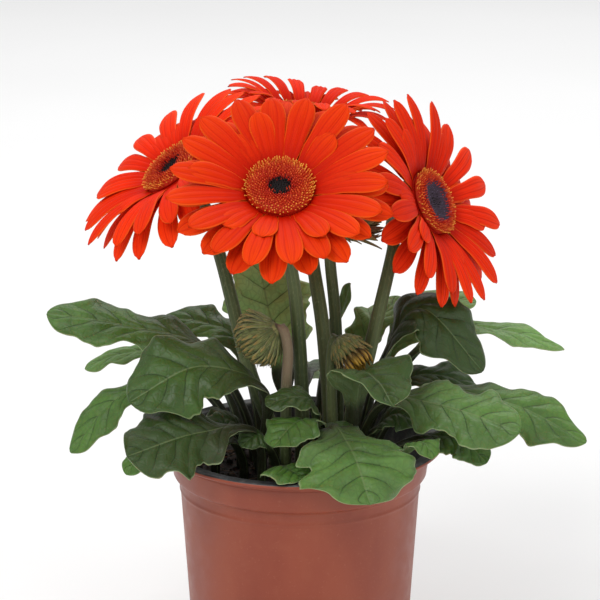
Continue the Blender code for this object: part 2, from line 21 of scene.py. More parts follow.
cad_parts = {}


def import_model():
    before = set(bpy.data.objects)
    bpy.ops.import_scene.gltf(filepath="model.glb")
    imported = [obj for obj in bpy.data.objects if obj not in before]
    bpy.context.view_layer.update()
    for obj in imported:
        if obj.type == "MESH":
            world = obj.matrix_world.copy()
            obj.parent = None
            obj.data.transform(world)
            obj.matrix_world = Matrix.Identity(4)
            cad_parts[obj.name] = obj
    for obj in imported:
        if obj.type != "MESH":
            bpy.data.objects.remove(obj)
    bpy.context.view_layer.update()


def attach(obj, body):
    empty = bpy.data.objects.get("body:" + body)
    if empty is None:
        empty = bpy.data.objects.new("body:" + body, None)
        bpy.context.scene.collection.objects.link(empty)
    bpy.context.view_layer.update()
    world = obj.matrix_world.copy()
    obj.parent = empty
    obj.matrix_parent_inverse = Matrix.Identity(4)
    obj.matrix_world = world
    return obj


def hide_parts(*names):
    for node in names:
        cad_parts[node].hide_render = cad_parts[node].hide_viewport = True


LOG = logging.getLogger("gerbera")
Socket = bpy.types.NodeSocket
Point = tuple[float, float, float]
Profile = Sequence[tuple[float, float]]
MM = 0.001
BODY = "root"

UP = Vector((0, 0, 1))
ROOT_DEPTH = 85.0
CROWN_TOP = 97.5
GOLDEN_TURN = math.radians(137.508)


# Small tools


def linear(hex_colour: str) -> tuple[float, float, float, float]:
    """Turn an sRGB hex colour into linear values.

    Args:
        hex_colour: Six hex digits.

    Returns:
        Red, green, blue and alpha.
    """
    channels = [int(hex_colour[i:i + 2], 16) / 255.0 for i in (0, 2, 4)]
    values = [c / 12.92 if c <= 0.04045 else ((c + 0.055) / 1.055) ** 2.4 for c in channels]
    return values[0], values[1], values[2], 1.0


def fraction(seed: float, *keys: float) -> float:
    """Give a repeatable fraction.

    Args:
        seed: The piece's own number.
        keys: Up to three whole numbers, such as a row and a place in it.

    Returns:
        A value from 0 to 1.
    """
    total = seed * 12.9898 + sum(key * weight for key, weight in zip(keys, (78.233, 37.719, 11.135)))
    value = math.sin(total) * 43758.5453
    return value - math.floor(value)


def spread(seed: float, *keys: float) -> float:
    """Give a repeatable value from -1 to 1."""
    return 2.0 * fraction(seed, *keys) - 1.0


def ease(value: float, low: float, high: float) -> float:
    """Rise smoothly from 0 at low to 1 at high."""
    part = min(1.0, max(0.0, (value - low) / (high - low)))
    return part * part * (3.0 - 2.0 * part)


def between(stops: Profile, at: float) -> float:
    """Read a value from stops joined by smooth steps.

    Args:
        stops: Places and the values there.
        at: The place to read.

    Returns:
        The value, which past the last stop stays as it is there.
    """
    for (x0, y0), (x1, y1) in zip(stops, stops[1:]):
        if at <= x1:
            return y0 + (y1 - y0) * ease(at, x0, x1)
    return stops[-1][1]


def shares(count: int) -> list[float]:
    """Return evenly spaced shares from 0 to 1."""
    return [k / (count - 1) for k in range(count)]


def stops_across(count: int) -> list[float]:
    """Return evenly spaced stops from -1 to 1."""
    return [2.0 * share - 1.0 for share in shares(count)]


def swell(wall: Callable[[float], float], level: float, width: float, rise: float,
          steps: Sequence[float]) -> list[tuple[float, float]]:
    """Return a profile that follows a wall over a soft ridge, or a groove if rise is negative."""
    return [(wall(level + step) + rise * math.exp(-(step / width) ** 2), level + step) for step in steps]


def near(radius: float, height: float, *offsets: tuple[float, float]) -> list[tuple[float, float]]:
    """Return the points of a profile that round one of its corners."""
    return [(radius + out, height + up) for out, up in offsets]


def hermite(start: Vector, start_pull: Vector, end: Vector, end_pull: Vector, t: float) -> Vector:
    """Return a point of the cubic between two knots."""
    return (start * (2 * t ** 3 - 3 * t ** 2 + 1) + start_pull * (t ** 3 - 2 * t ** 2 + t)
            + end * (3 * t ** 2 - 2 * t ** 3) + end_pull * (t ** 3 - t ** 2))


@dataclass
class Route:
    """A smooth curve through knots, read by its share of the whole length."""

    knots: Sequence[Sequence[float]]
    start: Sequence[float]
    end: Sequence[float]
    steps: int = 24
    points: list[Vector] = field(default_factory=list)
    lengths: list[float] = field(default_factory=list)

    def __post_init__(self) -> None:
        """Lay out fine points along the curve."""
        knots = [Vector(knot) for knot in self.knots]
        pulls = [(after - before) * 0.5 for before, after in zip(knots, knots[2:])]
        pulls.insert(0, Vector(self.start).normalized() * (knots[1] - knots[0]).length)
        pulls.append(Vector(self.end).normalized() * (knots[-1] - knots[-2]).length)
        for i in range(len(knots) - 1):
            for step in range(self.steps + (i == len(knots) - 2)):
                self.points.append(hermite(knots[i], pulls[i], knots[i + 1], pulls[i + 1],
                                           step / self.steps))
        self.lengths.append(0.0)
        for before, after in zip(self.points, self.points[1:]):
            self.lengths.append(self.lengths[-1] + (after - before).length)

    def at(self, share: float) -> tuple[Vector, Vector]:
        """Read the curve.

        Args:
            share: The share of the length.

        Returns:
            The point there and the smooth direction.
        """
        goal = min(max(share, 0.0), 1.0) * self.lengths[-1]
        low, high = 0, len(self.points) - 2
        while low < high:
            middle = (low + high + 1) // 2
            low, high = (middle, high) if self.lengths[middle] <= goal else (low, middle - 1)
        part = (goal - self.lengths[low]) / (self.lengths[low + 1] - self.lengths[low])
        ahead, behind = min(low + 2, len(self.points) - 1), max(low - 1, 0)
        here = (self.points[low + 1] - self.points[behind]).lerp(
            self.points[ahead] - self.points[low], part)
        return self.points[low].lerp(self.points[low + 1], part), here.normalized()


def head_frame(axis: Sequence[float], turn: float = 0.0) -> tuple[Vector, Vector, Vector]:
    """Find the directions at a head.

    Args:
        axis: The way the head faces.
        turn: A turn round that axis, counted from a level direction.

    Returns:
        The direction out from the axis at that turn, the direction round it, and the axis.
    """
    forward = Vector(axis).normalized()
    side = UP.cross(forward)
    side = Vector((1, 0, 0)) if side.length < 0.05 else side.normalized()
    up = forward.cross(side)
    return (side * math.cos(turn) + up * math.sin(turn), up * math.cos(turn) - side * math.sin(turn),
            forward)


def head_matrix(centre: Sequence[float], axis: Sequence[float]) -> Matrix:
    """Return the matrix from a head's own frame, whose Z is its axis, to its place."""
    return Matrix.Translation(Vector(centre)) @ Matrix(head_frame(axis)).transposed().to_4x4()


# Mesh work


@dataclass
class Sheet:
    """A mesh in the making, with a UV map and two values on each point.

    under is 1 on the side that faces the ground, and tone carries a colour share.
    """

    mesh: bmesh.types.BMesh = field(default_factory=bmesh.new)

    def __post_init__(self) -> None:
        """Add the layers that the finishes read."""
        self.uv = self.mesh.loops.layers.uv.new("UVMap")
        self.under = self.mesh.verts.layers.float.new("under")
        self.tone = self.mesh.verts.layers.float.new("tone")

    def skin(self, sections: Sequence[Sequence[Vector]], across: Sequence[float],
             along: Sequence[float], under: Sequence[float] | None = None,
             tone: float = 0.0, surface: int = 0) -> None:
        """Wrap a grid round closed sections and close its ends.

        Args:
            sections: Rings of equally many points, one after another.
            across: The UV value across, for each point of a ring.
            along: The UV value along, for each ring.
            under: How far each point of a ring is an under side.
            tone: The colour share of the whole piece.
            surface: The material slot.
        """
        rows, columns = len(sections), len(sections[0])
        verts = bmesh.ops.create_grid(self.mesh, x_segments=rows - 1, y_segments=columns, size=0.5)["verts"]
        spots = {vert: (round((vert.co.x + 0.5) * (rows - 1)), round((vert.co.y + 0.5) * columns))
                 for vert in verts}
        for face in {face for vert in verts for face in vert.link_faces}:
            face.material_index = surface
            face.smooth = True
            for loop in face.loops:
                row, column = spots[loop.vert]
                loop[self.uv].uv = (across[column % columns], along[row])
        for vert, (row, column) in spots.items():
            vert.co = sections[row][column % columns]
            vert[self.under] = under[column % columns] if under else 0.0
            vert[self.tone] = tone
        bmesh.ops.remove_doubles(self.mesh, verts=verts, dist=1e-5)
        kept = [vert for vert in verts if vert.is_valid]
        rims = {edge for vert in kept for edge in vert.link_edges if edge.is_boundary}
        for face in bmesh.ops.holes_fill(self.mesh, edges=list(rims), sides=0)["faces"]:
            face.material_index = surface

    def turned(self, profile: Profile, sides: int, frame: Matrix | None = None,
               across: float | None = 0.5, along: float = 0.0, tone: float = 0.0,
               surface: int = 0) -> None:
        """Turn a profile round an axis.

        Args:
            profile: Radii and heights.
            sides: Points round the axis.
            frame: The frame whose Z is the axis, if that isn't the pot's own.
            across: The UV value across, or None where it runs round the ring.
            along: The UV value along.
            tone: The colour share.
            surface: The material slot.
        """
        turns = [math.tau * k / sides for k in range(sides)]
        sections = [[Vector((radius * math.cos(turn), radius * math.sin(turn), height)) for turn in turns]
                    for radius, height in profile]
        if frame:
            sections = [[frame @ point for point in section] for section in sections]
        chart = [k / sides if across is None else across for k in range(sides)]
        self.skin(sections, chart, [along] * len(sections), None, tone, surface)

    def tube(self, route: Callable[[float], tuple[Vector, Vector]], radius: Callable[[float], float],
             sides: int, stations: Sequence[float], tone: float = 0.0) -> None:
        """Add a round stem along a route, its sections square to it.

        Args:
            route: Gives the middle and the direction at a share.
            radius: Gives the radius at a share.
            sides: Points round the stem.
            stations: The shares of its sections.
            tone: The colour share.
        """
        hint = Vector((1, 0, 0))
        sections = []
        for station in stations:
            centre, ahead = route(station)
            side = (hint - ahead * hint.dot(ahead)).normalized()
            other = ahead.cross(side)
            reach = radius(station)
            sections.append([centre + side * (reach * math.cos(math.tau * k / sides))
                             + other * (reach * math.sin(math.tau * k / sides)) for k in range(sides)])
        self.skin(sections, [k / sides for k in range(sides)], list(stations), None, tone)

    def blade(self, sections: Sequence[Sequence[Vector]], stops: Sequence[float],
              along: Sequence[float], tone: float = 0.0, surface: int = 0) -> None:
        """Wrap sections that cross a blade on its upper side and come back on its under side.

        Args:
            sections: The sections, each with two points for every stop.
            stops: Places across the blade, -1 to 1.
            along: The UV value along, for each section.
            tone: The colour share.
            surface: The material slot.
        """
        flat = [0.5 + 0.5 * stop for stop in stops]
        under = [0.0] * len(stops) + [1.0] * len(stops)
        self.skin(sections, flat + flat[::-1], along, under, tone, surface)

    def strap(self, path: Callable[[float], tuple[Vector, Vector, Vector]],
              half: Callable[[float], float], thick: float, cup: float, tone: float = 0.0,
              surface: int = 0, stations: int = 9, across: int = 3) -> None:
        """Add a narrow blade such as a bract or a small petal.

        Args:
            path: Gives the middle, the side direction and the outer direction at a share.
            half: Gives the half width at a share.
            thick: Thickness.
            cup: How far the edges stand inward, as a share of the half width.
            tone: The colour share.
            surface: The material slot.
            stations: Sections along the blade.
            across: Points across the blade.
        """
        stops = stops_across(across)
        sections = []
        for share in shares(stations):
            middle, side, outer = path(share)
            reach = half(share)
            line = [middle + side * (reach * stop) - outer * (cup * reach * stop * stop) for stop in stops]
            body = [outer * (0.5 * thick * (1.0 - 0.5 * abs(stop))) for stop in stops]
            upper = [point + part for point, part in zip(line, body)]
            lower = [point - part for point, part in zip(line, body)]
            sections.append(upper + lower[::-1])
        self.blade(sections, stops, shares(stations), tone, surface)

    def spike(self, foot: Vector, aim: Vector, reach: float, radii: tuple[float, float],
              sides: int) -> list[bmesh.types.BMVert]:
        """Stand a thin cone on a point.

        Args:
            foot: The point.
            aim: The way the cone points.
            reach: Its length.
            radii: Its radii at the foot and at the top.
            sides: Its sides.

        Returns:
            Its corners.
        """
        turn = aim.to_track_quat("Z", "Y").to_matrix().to_4x4()
        return bmesh.ops.create_cone(self.mesh, cap_ends=True, segments=sides, radius1=radii[0],
                                     radius2=radii[1], depth=reach,
                                     matrix=Matrix.Translation(foot + aim * reach * 0.5) @ turn)["verts"]

    def move(self, matrix: Matrix) -> None:
        """Carry every point by a matrix."""
        bmesh.ops.transform(self.mesh, matrix=matrix, verts=self.mesh.verts[:])

    def piece(self, name: str, *finishes: Finish) -> bpy.types.Object:
        """Turn the mesh, in millimetres, into an object in metres.

        Args:
            name: The object's name.
            finishes: Its finishes, in the order of the slots.

        Returns:
            The object, at the origin.
        """
        bmesh.ops.recalc_face_normals(self.mesh, faces=self.mesh.faces[:])
        bmesh.ops.scale(self.mesh, vec=(MM, MM, MM), verts=self.mesh.verts[:])
        data = bpy.data.meshes.new(name)
        self.mesh.to_mesh(data)
        self.mesh.free()
        for finish in finishes:
            data.materials.append(finish.material())
        made = bpy.data.objects.new(name, data)
        bpy.context.scene.collection.objects.link(made)
        return made


def settle(piece: bpy.types.Object, slot: str, *nodes: str) -> None:
    """Fix a piece to the plant and let it stand for its nodes.

    Args:
        piece: The piece.
        slot: The record's material slot; not used.
        nodes: The plain solids it stands for.
    """
    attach(piece, BODY)
    if nodes:
        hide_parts(*nodes)
    LOG.info("%s: %d faces", piece.name, len(piece.data.polygons))


# Finishes


@dataclass(frozen=True)
class Grain:
    """A noise pattern: its grain in millimetres, its detail, and its scale upwards."""

    size: float
    detail: float = 2.0
    upward: float = 1.0


def add_node(tree: bpy.types.NodeTree, kind: str, inputs: dict | None = None, output: int | str = 0,
             stops: Sequence[tuple[float, str]] = (), **settings: object) -> Socket:
    """Add a node with its settings and links.

    Args:
        tree: The node tree.
        kind: The node's type name.
        inputs: What each input gets, by its name or number: a hex colour, a value or a socket.
        output: The output that is wanted, by its name or number.
        stops: Places and hex colours of a colour ramp.
        settings: The node's own settings.

    Returns:
        The output.
    """
    node = tree.nodes.new(kind)
    for key, value in settings.items():
        setattr(node, key, value)
    for key, value in (inputs or {}).items():
        if isinstance(value, bpy.types.NodeSocket):
            tree.links.new(value, node.inputs[key])
        else:
            node.inputs[key].default_value = linear(value) if isinstance(value, str) else value
    for index, (place, colour) in enumerate(stops):
        marks = node.color_ramp.elements
        mark = marks[index] if index < len(marks) else marks.new(place)
        mark.position = place
        mark.color = linear(colour)
    return node.outputs[output]


def scale_of(size: float) -> float:
    """Return the scale at which a pattern's grain has a real size in millimetres on the object."""
    return 1.0 / (size * MM)


class Finish:
    """A procedural material: coats of colour on a Principled shader, with relief and gloss.

    shine holds what stays the same all over, and grains the noise patterns, whose outputs dress
    finds in noises.
    """

    name: str
    shine: dict[str, float]
    grains: tuple[Grain, ...] = ()

    def material(self) -> bpy.types.Material:
        """Make the material, once for all its pieces.

        Returns:
            The material.
        """
        found = bpy.data.materials.get(self.name)
        if found:
            return found
        made = bpy.data.materials.new(self.name)
        made.use_nodes = True
        self.shader = made.node_tree.nodes["Principled BSDF"]
        for key, value in self.shine.items():
            self.shader.inputs[key].default_value = value
        self.add = partial(add_node, made.node_tree)
        self.place, chart = (self.add("ShaderNodeTexCoord", output=key) for key in ("Object", "UV"))
        self.across, self.along = (self.add("ShaderNodeSeparateXYZ", {0: chart}, key) for key in "XY")
        self.level = self.add("ShaderNodeSeparateXYZ", {0: self.place}, "Z")
        self.tone, self.under = (self.add("ShaderNodeAttribute", output="Fac", attribute_name=key)
                                 for key in ("tone", "under"))
        signed = self.add("ShaderNodeMath", {0: self.across, 1: 2.0, 2: -1.0}, operation="MULTIPLY_ADD")
        self.away = self.add("ShaderNodeMath", {0: signed}, operation="ABSOLUTE")
        self.noises = []
        for grain in self.grains:
            drawn = self.add("ShaderNodeMapping", {"Vector": self.place, "Scale": (1.0, 1.0, grain.upward)})
            self.noises.append(self.add("ShaderNodeTexNoise", {
                "Vector": drawn, "Scale": scale_of(grain.size), "Detail": grain.detail}))
        self.dress()
        return made

    def dress(self) -> None:
        """Add the colour, roughness and bump nodes."""

    def lay(self, colour: object, *coats: tuple[Socket, float, float, float, object]) -> Socket:
        """Lay coats of colour over one another.

        Args:
            colour: The lowest colour, as a hex colour or a socket.
            coats: For each coat the pattern that it follows, the pattern's values where the coat
                starts and where it is full, the full coat's strength, and its colour.

        Returns:
            The colour that shows.
        """
        for pattern, start, full, strength, over in coats:
            share = self.add("ShaderNodeMapRange", {0: pattern, 1: start, 2: full, 4: strength},
                             interpolation_type="SMOOTHSTEP")
            colour = self.add("ShaderNodeMix", {0: share, 6: colour, 7: over}, 2, data_type="RGBA")
        return colour

    def total(self, *parts: tuple[Socket, float]) -> Socket:
        """Add up patterns.

        Args:
            parts: Each pattern with its weight.

        Returns:
            The weighted sum.
        """
        below: float | Socket = 0.0
        for pattern, weight in parts:
            below = self.add("ShaderNodeMath", {0: pattern, 1: weight, 2: below},
                             operation="MULTIPLY_ADD")
        return below

    def feed(self, colour: Socket, height: Socket, depth: float, strength: float,
             cloud: Socket | None = None, least: float = 0.0, most: float = 1.0) -> None:
        """Feed the colour, the relief and the roughness into the shader.

        Args:
            colour: The base colour.
            height: The relief's height, 0 to 1.
            depth: How deep the relief is, in millimetres.
            strength: The share of the relief that shows.
            cloud: The noise that the roughness follows, where it varies.
            least: The roughness where that noise is low.
            most: The roughness where it is high.
        """
        links = self.shader.id_data.links
        links.new(colour, self.shader.inputs["Base Color"])
        links.new(self.add("ShaderNodeBump", {"Height": height, "Distance": depth * MM,
                                              "Strength": strength}), self.shader.inputs["Normal"])
        if cloud is not None:
            rough = self.add("ShaderNodeMapRange", {0: cloud, 1: 0.3, 2: 0.7, 3: least, 4: most})
            links.new(rough, self.shader.inputs["Roughness"])


class TerracottaPolypropylene(Finish):
    """Injection-moulded polypropylene, brick red.

    It is satin, with faint upright flow marks from the mould and pale scuffs from handling.
    """

    name = "terracotta_polypropylene"
    shine = {"Specular IOR Level": 0.5}
    grains = (Grain(22.0, 3.0, 0.35), Grain(1.1), Grain(6.0, 5.0))

    def dress(self) -> None:
        """Cloud the brick red, scuff it and let the gloss vary."""
        cloud, dust, haze = self.noises
        colour = self.lay("84361E", (cloud, 0.3, 0.75, 1.0, "904126"), (dust, 0.62, 0.75, 0.2, "A8694E"),
                          (haze, 0.5, 0.75, 0.15, "9C5A40"), (self.level, 0.03, 0.0, 0.25, "6E3A28"))
        self.feed(colour, dust, 0.05, 0.25, haze, 0.36, 0.5)


class BlackInnerPolypropylene(Finish):
    """The pot's inner layer, moulded in carbon-black polypropylene.

    It shows on the lip as a soft charcoal line, greyed by dried water and dust.
    """

    name = "black_inner_polypropylene"
    shine = {"Specular IOR Level": 0.4}
    grains = (Grain(4.0, 6.0), Grain(0.8))

    def dress(self) -> None:
        """Grey the black with dust."""
        dust, fine = self.noises
        self.feed(self.lay("303133", (dust, 0.45, 0.75, 1.0, "5C5D5B")), fine, 0.05, 0.3, dust, 0.38, 0.6)


class MoistPeat(Finish):
    """Sieved peat, watered: near black, with brown fibre and a few pale grains of perlite dust."""

    name = "moist_peat"
    shine = {"Roughness": 0.85}
    grains = (Grain(2.2, 6.0), Grain(0.9))

    def dress(self) -> None:
        """Mix dark crumb, brown crumb and pale grains."""
        crumb, grit = self.noises
        colour = self.lay("15100D", (crumb, 0.4, 0.65, 1.0, "35261D"), (grit, 0.66, 0.74, 0.6, "7A6A58"),
                          (self.tone, 0.0, 1.0, 1.0, "6B5440"))
        self.feed(colour, crumb, 0.6, 0.9)


class LeafTissue(Finish):
    """A living gerbera leaf.

    The blade is satin and deep green, darker and browner towards its stalk, puckered by a fine net
    of veins. The darkening towards the stalk is partly the leaf's own browning and partly painted
    shade of the dense crown. Its ribs and veins lie in grooves with painted shade along them. Down
    makes its under side paler, and its rim is paler, partly from the down and partly as a painted
    rim light. Light that falls on one side glows faintly through to the other. tone is the leaf's
    lightness, partly its own shade of green and partly painted light: paler on back leaves for light
    shining through them, darker on leaves deep in the crown for the shade there.
    """

    name = "gerbera_leaf"
    shine = {"Specular IOR Level": 0.4, "Sheen Weight": 0.03, "Sheen Roughness": 0.45,
             "Subsurface Weight": 0.12, "Subsurface Scale": 0.0015}
    grains = (Grain(16.0, 4.0), Grain(1.8, 4.0))

    def dress(self) -> None:
        """Colour the blade, its ribs, rim and under side."""
        cloud, speck = self.noises
        cell = self.add("ShaderNodeTexVoronoi", {"Vector": self.place, "Scale": scale_of(3.0)}, "Distance",
                        feature="DISTANCE_TO_EDGE")
        net = self.add("ShaderNodeMapRange", {0: cell, 1: 0.18, 2: 0.0}, interpolation_type="SMOOTHSTEP")
        rib, age, away, along = self.ribs(), self.tone, self.away, self.along
        # Painted light and shade in these coats: the tone coats darken leaves deep in the crown as painted
        # shade and pale the back leaves as painted light through them; the along coats darken towards the
        # stalk, partly browning and partly painted shade of the crown; the net and rib coats are painted
        # shade in the vein grooves; the pale rim coat is partly down and partly painted rim light.
        colour = self.lay("38581A", (cloud, 0.3, 0.72, 1.0, "527A2A"), (speck, 0.35, 0.7, 0.35, "3C5F1E"),
                          (age, 0.0, -1.0, 1.0, "2B3F12"), (along, 0.62, 0.02, 0.95, "2A2B14"),
                          (age, 0.0, 1.0, 1.0, "98C474"), (net, 0.0, 1.0, 0.16, "2E4A1A"),
                          (rib, 0.0, 1.0, 0.6, "1C2E12"), (away, 0.035, 0.0, 0.5, "76855A"),
                          (self.under, 0.0, 1.0, 0.5, "64794A"), (along, 0.16, 0.0, 0.9, "262A14"),
                          (away, 0.965, 1.0, 0.6, "9CAC7C"), (along, 0.10, 0.0, 0.6, "262A14"))
        height = self.total((net, -0.25), (speck, 0.55), (rib, -0.9))
        self.feed(colour, height, 0.45, 0.7, cloud, 0.4, 0.54)

    def ribs(self) -> Socket:
        """Draw the side ribs, which leave the midrib at a slant.

        Returns:
            The share of rib, strongest next to the midrib.
        """
        slant = self.total((self.along, RIBS), (self.away, -RIB_SLANT))
        lane = self.add("ShaderNodeMath", {0: slant, 1: 0.5}, operation="PINGPONG")
        line: float | Socket = 0.0
        # A narrow line for the rib's groove and a wide soft band for the puckering beside it: in the colour
        # both are painted shade, in the relief they sink the blade.
        for width, share in ((0.045, 0.7), (0.22, 0.3)):
            edge = self.add("ShaderNodeMapRange", {0: lane, 1: width, 2: 0.0, 4: share},
                            interpolation_type="SMOOTHSTEP")
            line = self.add("ShaderNodeMath", {0: edge, 1: line}, operation="ADD")
        fade = self.add("ShaderNodeMapRange", {0: self.away, 1: 1.0, 2: 0.3, 3: 0.3})
        return self.add("ShaderNodeMath", {0: line, 1: fade}, operation="MULTIPLY")


class StemTissue(Finish):
    """A fleshy flower stem under short down.

    The down greys its green and softens the highlight, fine ribs run lengthwise, and a nodding
    bud's neck is flushed brown.
    """

    name = "gerbera_stem"
    shine = {"Roughness": 0.6, "Sheen Weight": 0.2, "Sheen Roughness": 0.45}
    grains = (Grain(14.0, 4.0, 0.25), Grain(0.5, 2.0, 0.25))
    ribs_round = 10.0

    def dress(self) -> None:
        """Streak the stem along its length."""
        cloud, down = self.noises
        turn = self.add("ShaderNodeMath", {0: self.across, 1: self.ribs_round * math.tau},
                        operation="MULTIPLY")
        lines = self.add("ShaderNodeMath", {0: turn}, operation="SINE")
        neck = self.add("ShaderNodeMapRange", {0: self.level, 1: 0.118, 2: 0.142})
        brown = self.add("ShaderNodeMath", {0: self.tone, 1: neck}, operation="MULTIPLY")
        colour = self.lay("39491F", (cloud, 0.35, 0.7, 1.0, "545F33"), (lines, 0.1, 1.0, 0.25, "727C48"),
                          (brown, 0.0, 1.0, 0.85, "806A54"), (down, 0.58, 0.75, 0.3, "9AA078"))
        self.feed(colour, self.total((lines, 0.3), (down, 1.0)), 0.18, 0.5)


class BractTissue(Finish):
    """Narrow green bracts, matt under their down, dried to golden brown at their points."""

    name = "gerbera_bract"
    shine = {"Roughness": 0.62, "Sheen Weight": 0.12, "Sheen Roughness": 0.45}
    grains = (Grain(3.0, 4.0), Grain(0.5))

    def dress(self) -> None:
        """Shade each bract from green to its brown point, and redden it by its tone."""
        cloud, down = self.noises
        colour = self.lay("4C5628", (cloud, 0.35, 0.7, 1.0, "70763C"), (self.along, 0.55, 1.0, 0.8, "94702C"),
                          (self.tone, 0.0, 1.0, 0.8, "6C2A18"), (self.away, 0.55, 1.0, 0.45, "A8A270"))
        self.feed(colour, down, 0.15, 0.6)


@dataclass
class RayTissue(Finish):
    """A ray petal: satin and velvety, deepest at the root, with fine lines and two grooves.

    Its cells soak up all light but red and orange, so its highlights stay faint. tone is the
    petal's own number, 0 to 3, which moves its lines.
    """

    name: str
    root: str
    blade: str
    tip: str
    groove_place: float = 0.34
    lines_across: float = 16.0
    shine = {"Roughness": 0.55, "Specular IOR Level": 0.06, "Subsurface Weight": 0.1,
             "Subsurface Scale": 0.001}

    def dress(self) -> None:
        """Shade the petal along and across, draw its lines, and paint shade along its two grooves."""
        own, along = self.tone, self.along
        drawn = self.add("ShaderNodeCombineXYZ", {0: self.total((self.across, self.lines_across)),
                                                  1: along, 2: own})
        line = self.add("ShaderNodeTexNoise", {"Vector": drawn, "Scale": 1.6, "Detail": 3.0})
        gap = self.add("ShaderNodeMath", {0: self.away, 1: self.groove_place}, operation="SUBTRACT")
        gap = self.add("ShaderNodeMath", {0: gap}, operation="ABSOLUTE")
        # The gap coat darkens the petal along its two grooves as painted shade.
        colour = self.lay(self.root, (along, 0.0, 0.45, 1.0, self.blade), (along, 0.4, 1.0, 0.8, self.tip),
                          (own, 0.0, 3.0, 0.35, self.root), (line, 0.45, 0.68, 0.4, self.root),
                          (gap, 0.09, 0.0, 0.5, self.root), (self.away, 0.84, 1.0, 0.6, "FA6A1E"),
                          (self.under, 0.0, 1.0, 0.4, "B82A10"))
        self.feed(colour, self.total((line, 1.0), (gap, 0.6)), 0.2, 0.45)


@dataclass
class FloretTissue(Finish):
    """Disc florets: matt dark buds in the heart, crimson tubes round them, golden tips outside."""

    name: str
    heart: str
    bloom: str
    shine = {"Roughness": 0.6, "Specular IOR Level": 0.2}
    grains = (Grain(0.4),)

    def dress(self) -> None:
        """Colour florets by their place, which tone holds, and their tips, which under marks."""
        tube, gold = (self.add("ShaderNodeValToRGB", {0: self.tone}, stops=stops) for stops in (
            ((0.0, "0A0507"), (0.10, "0C0608"), (0.18, self.heart), (0.38, self.heart), (0.48, "B01206"),
             (1.0, "C84010")),
            ((0.0, "100808"), (0.10, "140A0C"), (0.18, self.bloom), (0.38, self.bloom), (0.48, "E4441C"),
             (0.82, "F07A34"), (1.0, "FFC44E"))))
        colour = self.add("ShaderNodeMix", {0: self.under, 6: tube, 7: gold}, 2, data_type="RGBA")
        self.feed(colour, self.noises[0], 0.1, 0.4)


class BudFloretTissue(Finish):
    """Young ray florets in an opening bud: smooth, olive yellow, browner at the root."""

    name = "young_floret"
    shine = {"Roughness": 0.5, "Sheen Weight": 0.2, "Sheen Roughness": 0.45}
    grains = (Grain(0.6),)

    def dress(self) -> None:
        """Shade from brown green to yellow."""
        colour = self.lay("5F4A1E", (self.along, 0.1, 0.8, 1.0, "B8901F"),
                          (self.away, 0.6, 1.0, 0.5, "7A4A1A"))
        self.feed(colour, self.noises[0], 0.12, 0.5)


class StudioPaper(Finish):
    """Seamless white background paper, matt, with a faint tooth."""

    name = "studio_paper"
    shine = {"Roughness": 0.9}
    grains = (Grain(300.0),)

    def dress(self) -> None:
        """Keep the paper near white."""
        cloud = self.noises[0]
        self.feed(self.lay("F4F4F4", (cloud, 0.0, 1.0, 1.0, "F8F8F8")), cloud, 0.1, 0.1)


ORANGE_RAYS = RayTissue("ray_orange_red", "BC1602", "DC2C04", "EE4406")
SCARLET_RAYS = RayTissue("ray_scarlet", "C81602", "F43008", "FA400C")
CRIMSON_RAYS = RayTissue("ray_deep_red", "B01202", "EA2C08", "F43A0C")
DARK_FLORETS = FloretTissue("floret_dark_heart", "0E0506", "240A0A")
PLUM_FLORETS = FloretTissue("floret_plum_heart", "3A2C38", "6C6078")


# The pot


